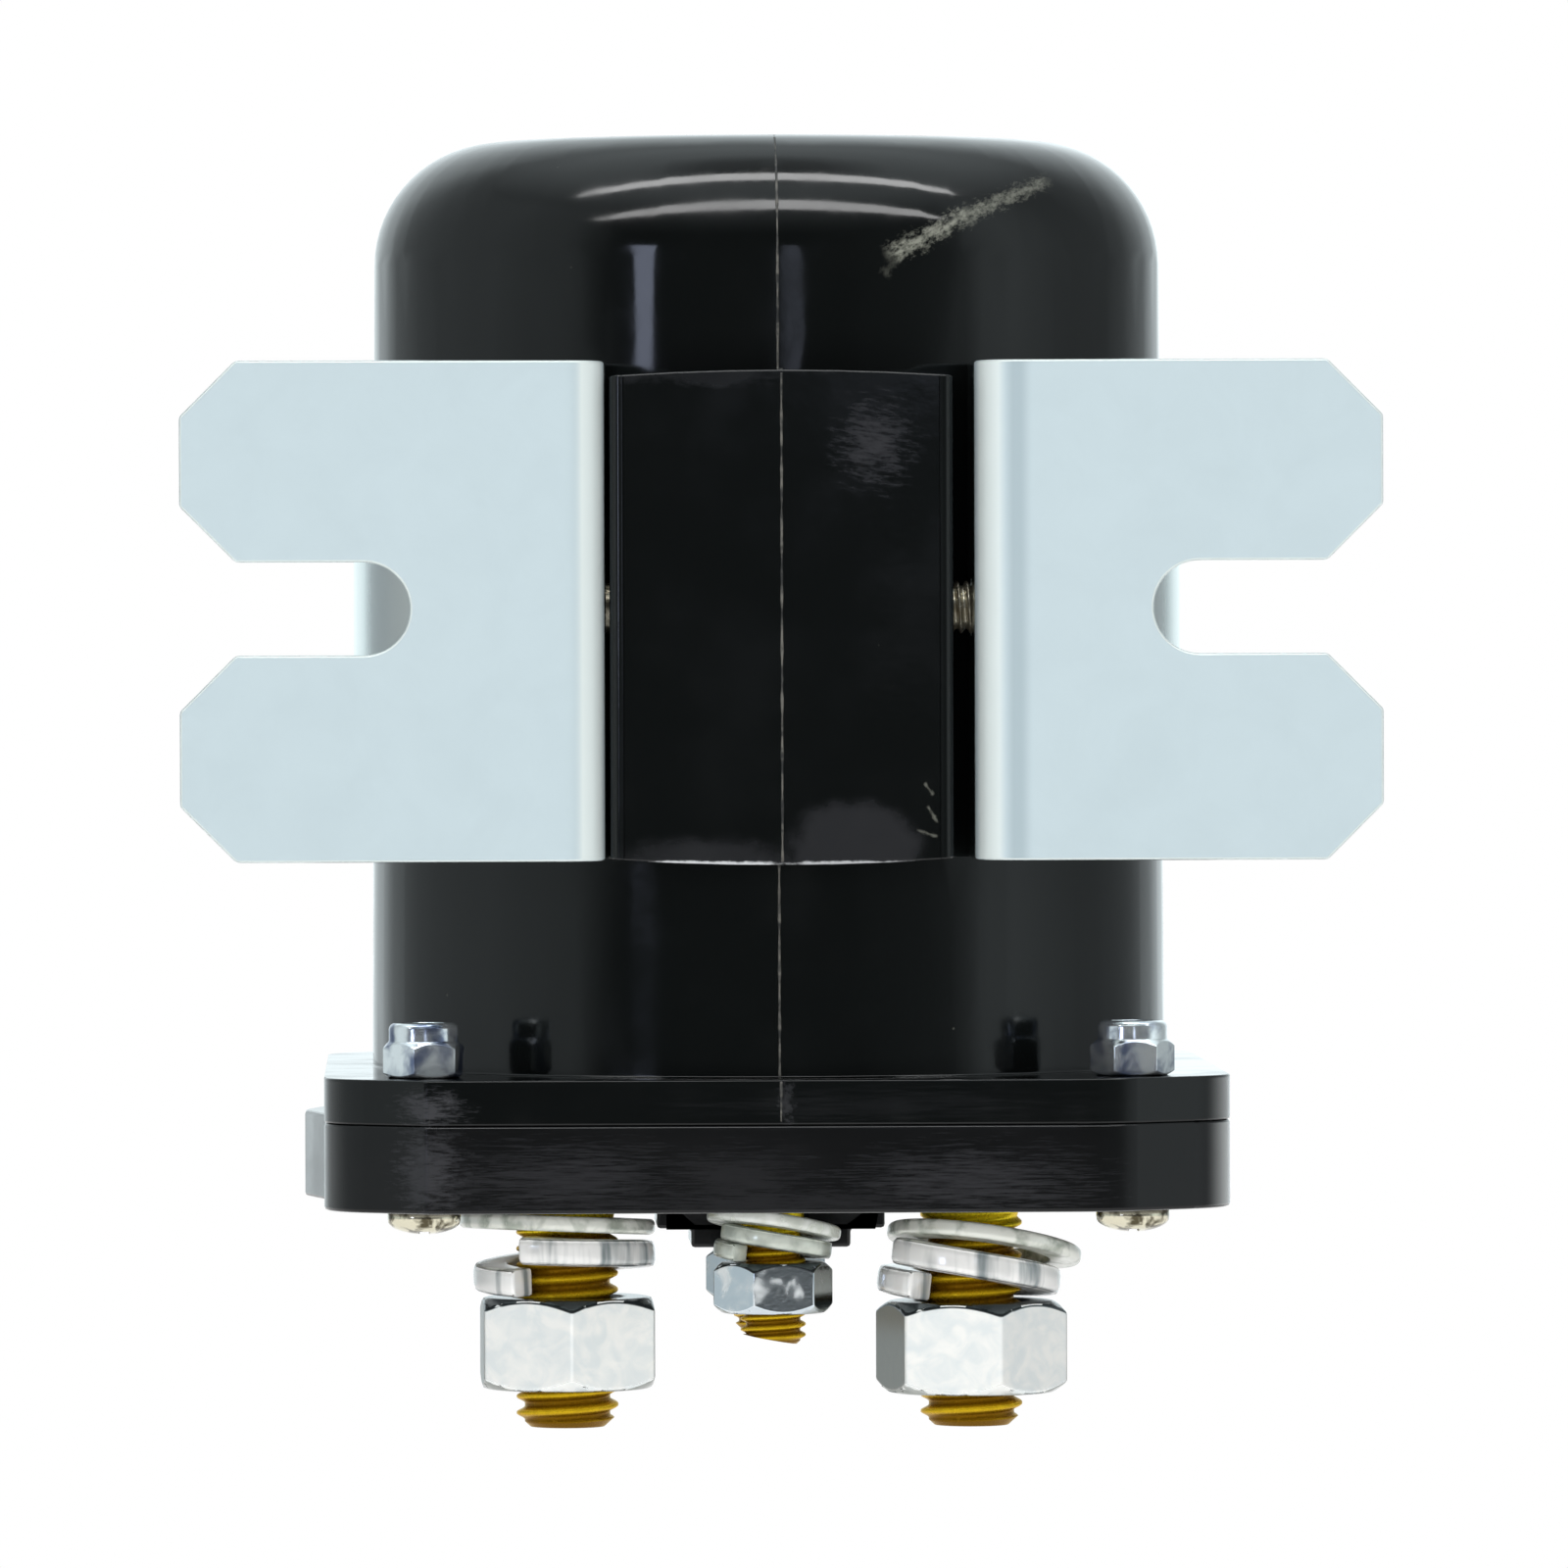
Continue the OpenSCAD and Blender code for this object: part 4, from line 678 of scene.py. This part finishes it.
def build_corner_screws():
    """Pan head screws with a cross recess in the head, which looks down."""
    head_r, head_h = 2.72 * MM, 1.78 * MM
    # Share of the head's height that its dome takes, and level of its widest ring
    dome_share, widest = 0.60, -0.32 * head_h
    arm, half, deep = 1.75 * MM, 0.30 * MM, 1.1 * MM
    shank_r, root_r, pitch = 1.46 * MM, 1.2 * MM, 0.5 * MM
    side_blur, end_blur, taper = 0.12 * MM, 0.25 * MM, 0.55
    recess_end, head_rings = 0.985 * head_r, 26
    corner = 0.08 * MM

    def dome(r):
        sink = 1 - math.sqrt(1 - (r / head_r * 0.999) ** 2)
        return CAP_BOTTOM - head_h + head_h * dome_share * sink

    def recess(angle, r):
        x, y = abs(r * math.cos(angle)), abs(r * math.sin(angle))
        near, far = min(x, y), max(x, y)
        inside = smooth((half - near) / side_blur + 0.5) * smooth((arm - far) / end_blur)
        return dome(r) + deep * inside * (1 - taper * r / arm)

    for node in [n for n in nodes if n.startswith("corner_screw")]:
        low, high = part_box(node)
        rings = [(recess_end * i / head_rings, recess) for i in range(1, head_rings + 1)]
        rings += [(head_r, CAP_BOTTOM + widest), (head_r, CAP_BOTTOM - corner), (head_r - corner, CAP_BOTTOM),
                  (shank_r + 0.01 * MM, CAP_BOTTOM)]
        shank = thread_rings(shank_r, root_r, pitch, -high.z, -CAP_BOTTOM - 0.1 * MM, 0.2 * MM, steps=8)
        rings += [(r, -z) for r, z in reversed(shank)]
        points, faces = lathe(rings, 80)
        place = Matrix.Translation(((low.x + high.x) / 2, (low.y + high.y) / 2, 0))
        stand_in(node.replace("corner", "cross_head"), node, points, faces, place)


def build_cross_bolt():
    """Bolt through the strap's legs. Its thread shows beside the pad."""
    low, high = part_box("cross_bolt")
    crest_r, root_r, pitch, lead_in = 1.94 * MM, 1.6 * MM, 0.7 * MM, 0.3 * MM
    head_h, half_flats, plain_length = 2.8 * MM, 3.5 * MM, 6.0 * MM
    shank = high.x - low.x - head_h
    rings = thread_rings(crest_r, root_r, pitch, 0.0, shank, lead_in, shank - plain_length)
    # Radius at the corners of the hexagon, in millimetres, by share of the head's height
    for share, corner_r in ((0.0, 3.9), (0.1, 4.05), (0.88, 4.05), (1.0, 3.6)):
        rings.append((flats(corner_r * MM, half_flats, 6), shank + share * head_h))
    points, faces = lathe(rings, 48)
    place = Matrix.Translation((high.x, (low.y + high.y) / 2, (low.z + high.z) / 2))
    place = place @ Matrix.Rotation(math.radians(-90), 4, "Y")
    stand_in("threaded_cross_bolt", "cross_bolt", points, faces, place)


def spring_coil(mean_r, wire, low, high, turns):
    """Skin of a compression spring with close end turns, between two heights."""
    sides, steps = 10, 36
    closeness = 0.8
    count = round(turns * steps)
    points = []
    for i in range(count + 1):
        u = i / count
        angle = 2 * math.pi * i / steps
        rise = u - closeness * math.sin(2 * math.pi * u) / (2 * math.pi)
        middle = low + wire / 2 + (high - low - wire) * rise
        for j in range(sides):
            turn = -2 * math.pi * j / sides
            r = mean_r + wire / 2 * math.cos(turn)
            points.append((r * math.cos(angle), r * math.sin(angle), middle + wire / 2 * math.sin(turn)))
    return points, tube_faces(0, count + 1, sides)


def build_springs():
    """The two springs inside. Both hang on what moves with the plunger."""
    for node, joint, wire, turns, travel in (("return_spring", "armature_slide", 0.8 * MM, 7, 4.0 * MM),
                                             ("contact_spring", "bridge_slide", 0.9 * MM, 3.5, 1.0 * MM)):
        low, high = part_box(node)
        mean_r = (high.x - low.x - wire) / 2
        points, faces = spring_coil(mean_r, wire, low.z, high.z, turns)
        place = Matrix.Translation((0, AXIS_Y, 0))
        piece = stand_in("wound_" + node, node, points, faces, place, "armature")
        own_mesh(piece)


def ridge_skin(line, start):
    """Skin of a ridge along points (Y, Z, normal in Y, normal in Z). Its first point has the number start."""
    tall, half, sunk = 0.06, 0.17, 0.06
    # Length of its steps, and the number of them over which it fades in and out
    step_length, fade = 0.7, 3
    dense = []
    for a, b in zip(line, line[1:]):
        steps = max(1, int(math.hypot(b[0] - a[0], b[1] - a[1]) / step_length))
        dense += [tuple(a[k] + (b[k] - a[k]) * i / steps for k in range(4)) for i in range(steps)]
    dense.append(line[-1])
    last = len(dense) - 1
    points = []
    for i, (y, z, ny, nz) in enumerate(dense):
        size = math.hypot(ny, nz)
        swell = 0.7 + 0.3 * math.sin(i * 1.7) * math.sin(i * 0.61)
        lift = tall * swell * smooth(i / fade) * smooth((last - i) / fade)
        side = half * swell
        for x, h in ((side, -sunk), (side / 2, lift), (-side / 2, lift), (-side, -sunk)):
            points.append((x * MM, (y + ny / size * h) * MM, (z + nz / size * h) * MM))
    return points, tube_faces(start, last + 1, 4)


def build_parting_line():
    """Thin ridge that the mould leaves along the middle of the housing, front and back."""
    axis, flange_top, seam = AXIS_Y / MM, FLANGE_TOP / MM, SEAM_Z / MM
    dome_r, dome_top, body_r, top_r = 9.3, 35.3, 30.15, 29.84
    fillet = dome_top - dome_r
    # Top and bottom of the pad in front. At the back the line stops just above and below the strap's band
    pad_top, pad_low = 17.45, -18.85
    above_band, below_band = 18.6, -18.9
    pad_edge, flange_edge = 0.3, 0.2

    def body_y(z):
        share = (fillet - z) / (fillet - seam)
        return axis - (top_r + (body_r - top_r) * share)

    dome = []
    first_angle, last_angle, arc_steps = 8, 90, 10
    for i in range(arc_steps + 1):
        a = math.radians(first_angle + (last_angle - first_angle) * i / arc_steps)
        dome.append((axis - (top_r - dome_r) - dome_r * math.sin(a), fillet + dome_r * math.cos(a),
                     -math.sin(a), math.cos(a)))
    front = dome + [
        (body_y(pad_top), pad_top + 0.04, -0.7, 0.7),
        (PAD_Y + pad_edge, pad_top + 0.03, -0.3, 0.9),
        (PAD_Y, pad_top - pad_edge, -1, 0.1),
        (PAD_Y, pad_low + pad_edge, -1, -0.1),
        (PAD_Y + pad_edge, pad_low, -0.3, -0.9),
        (body_y(pad_low), pad_low, -0.7, -0.7),
        (body_y(flange_top), flange_top, -0.7, 0.7),
        (FLANGE_Y + flange_edge, flange_top, -0.3, 0.9),
        (FLANGE_Y, flange_top - flange_edge, -1, 0.1),
        (FLANGE_Y, seam + 0.25, -1, 0),
    ]
    back = [(2 * axis - y, z, -ny, nz) for y, z, ny, nz in dome]
    back.append((2 * axis - body_y(above_band), above_band, 1, 0))
    low_back = [(2 * axis - body_y(below_band), below_band, 1, 0),
                (2 * axis - body_y(flange_top), flange_top, 0.7, 0.7)]
    points, faces = [], []
    for line in (front, back, low_back):
        more_points, more_faces = ridge_skin(line, len(points))
        points += more_points
        faces += more_faces
    make_piece("parting_line", points, faces, flash_plastic())


def build_camera():
    """Camera with a long lens, a little to the left of the object and aimed below its middle."""
    distance, left, roll = 1.0, 27.3 * MM, math.radians(-0.16)
    target = Vector((1.23 * MM, AXIS_Y, -13.43 * MM))
    camera = bpy.data.objects.new("camera", bpy.data.cameras.new("camera"))
    bpy.context.scene.collection.objects.link(camera)
    camera.data.sensor_width = 36.0
    camera.data.lens = 301.5
    camera.data.clip_start, camera.data.clip_end = 0.05, 20.0
    camera.location = (-left, AXIS_Y - distance, 0.0)
    turn = (target - camera.location).to_track_quat("-Z", "Y").to_matrix()
    camera.rotation_euler = (turn @ Matrix.Rotation(roll, 3, "Z")).to_euler()
    bpy.context.scene.camera = camera


def area_lamp(name, azimuth, elevation, distance, size, brightness, colour=(1, 1, 1), shape="RECTANGLE",
              glossy=True, diffuse=True):
    """Soft lamp that looks at the object, with azimuth 0 at the camera. Its brightness is a radiance."""
    lamp = bpy.data.objects.new(name, bpy.data.lights.new(name, "AREA"))
    bpy.context.scene.collection.objects.link(lamp)
    a, e = math.radians(azimuth), math.radians(elevation)
    out = Vector((math.sin(a) * math.cos(e), -math.cos(a) * math.cos(e), math.sin(e)))
    lamp.location = Vector((0, AXIS_Y, 0)) + out * distance
    lamp.rotation_euler = (-out).to_track_quat("-Z", "Y").to_euler()
    lamp.data.shape = shape
    lamp.data.size, lamp.data.size_y = size
    area = size[0] * size[1] * (math.pi / 4 if shape == "ELLIPSE" else 1)
    lamp.data.energy = brightness * math.pi * area
    lamp.data.color = colour
    lamp.visible_glossy = glossy
    lamp.visible_diffuse = diffuse


def studio_glow(azimuth, elevation):
    around = between(STUDIO_AROUND, azimuth) * between(STUDIO_FADE, elevation)
    return max(around, between(STUDIO_RISE, elevation))


def screen_paint():
    """Light of the brightness that the screen's mesh carries."""
    paint = Paint("studio_screen")
    level = paint.add("ShaderNodeAttribute", out=2, attribute_name="glow")
    return paint.finish_with(paint.add("ShaderNodeEmission", {"Color": (*STUDIO_TINT, 1), "Strength": level}))


def build_studio_screen():
    """Round screen with a graded brightness, seen only where the object mirrors it."""
    radius, around, rows = 2.6, 180, 30
    low, high = -7.0, 89.0
    points, glow = [], []
    for i in range(rows + 1):
        elevation = low + (high - low) * i / rows
        e = math.radians(elevation)
        for j in range(around):
            azimuth = -180 + 360 * j / around
            a = math.radians(azimuth)
            points.append((radius * math.cos(e) * math.sin(a), AXIS_Y - radius * math.cos(e) * math.cos(a),
                           radius * math.sin(e)))
            glow.append(studio_glow(azimuth, elevation))
    screen = link_mesh("studio_screen", points, strip_faces(0, rows + 1, around), screen_paint())
    screen.data.attributes.new("glow", "FLOAT", "POINT").data.foreach_set("value", glow)
    screen.visible_camera = False
    screen.visible_diffuse = False
    screen.visible_shadow = False
    screen.visible_volume_scatter = False


def floor_paint():
    """Pale floor that shows as white to the camera and keeps a soft shadow."""
    paint = Paint("floor", roughness=0.9)
    grain = paint.noise(40.0, 3.0, 0.5)
    paint.finish(Base_Color=paint.mix(grain, (0.78, 0.78, 0.78), (0.82, 0.82, 0.82)))
    plain = paint.shader.outputs[0]
    lit = paint.add("ShaderNodeAddShader", {0: plain, 1: paint.add("ShaderNodeEmission", {"Strength": 0.75})})
    rays = paint.sockets("ShaderNodeLightPath")
    seen = paint.most(rays["Is Camera Ray"], rays["Is Glossy Ray"])
    return paint.finish_with(paint.add("ShaderNodeMixShader", {0: seen, 1: plain, 2: lit}))


def build_floor():
    radius, level, corners = 0.45, -0.13, 72
    angles = [2 * math.pi * i / corners for i in range(corners)]
    points = [(radius * math.cos(a), radius * math.sin(a) + AXIS_Y, level) for a in angles]
    floor = link_mesh("floor", points, [tuple(range(corners))], floor_paint())
    floor.visible_shadow = False


def build_world():
    """White backdrop that sends out less light than it shows."""
    shown, sent = 1.0, 0.18
    world = bpy.data.worlds.new("studio")
    world.use_nodes = True
    sky = Nodes(world.node_tree)
    rays = sky.sockets("ShaderNodeLightPath")
    seen = sky.most(rays["Is Camera Ray"], rays["Is Glossy Ray"], rays["Is Transmission Ray"])
    strength = sky.add("ShaderNodeMapRange", {"Value": seen, "To Min": sent, "To Max": shown})
    sky.set(world.node_tree.nodes["Background"], {"Color": (1, 1, 1, 1), "Strength": strength})
    bpy.context.scene.world = world


def build_studio():
    """Lamps, each with its azimuth and elevation in degrees, distance, size and brightness, then the rest."""
    area_lamp("strip_overhead", 0, 80, 1.2, (2.0, 0.17), 10.5, shape="ELLIPSE", diffuse=False)
    area_lamp("strip_front", 0, 50, 1.2, (2.4, 0.19), 9.0, shape="ELLIPSE", diffuse=False)
    area_lamp("window_left", -38, 6, 1.3, (0.17, 0.30), 4.6, (0.78, 0.87, 1.14), diffuse=False)
    area_lamp("window_behind", 5, 7.4, 1.3, (0.13, 0.24), 1.15, (0.80, 0.88, 1.12), diffuse=False)
    area_lamp("soft_fill", 0, -3, 1.5, (1.7, 0.85), 5.2, glossy=False)
    area_lamp("soft_back", 180, 12, 1.5, (0.9, 0.7), 3.4, glossy=False)
    build_studio_screen()
    build_floor()
    build_world()


bpy.context.scene.view_settings.view_transform = "Standard"
dress_cad_nodes()
build_studs()
build_corner_screws()
build_cross_bolt()
build_springs()
build_parting_line()
build_camera()
build_studio()
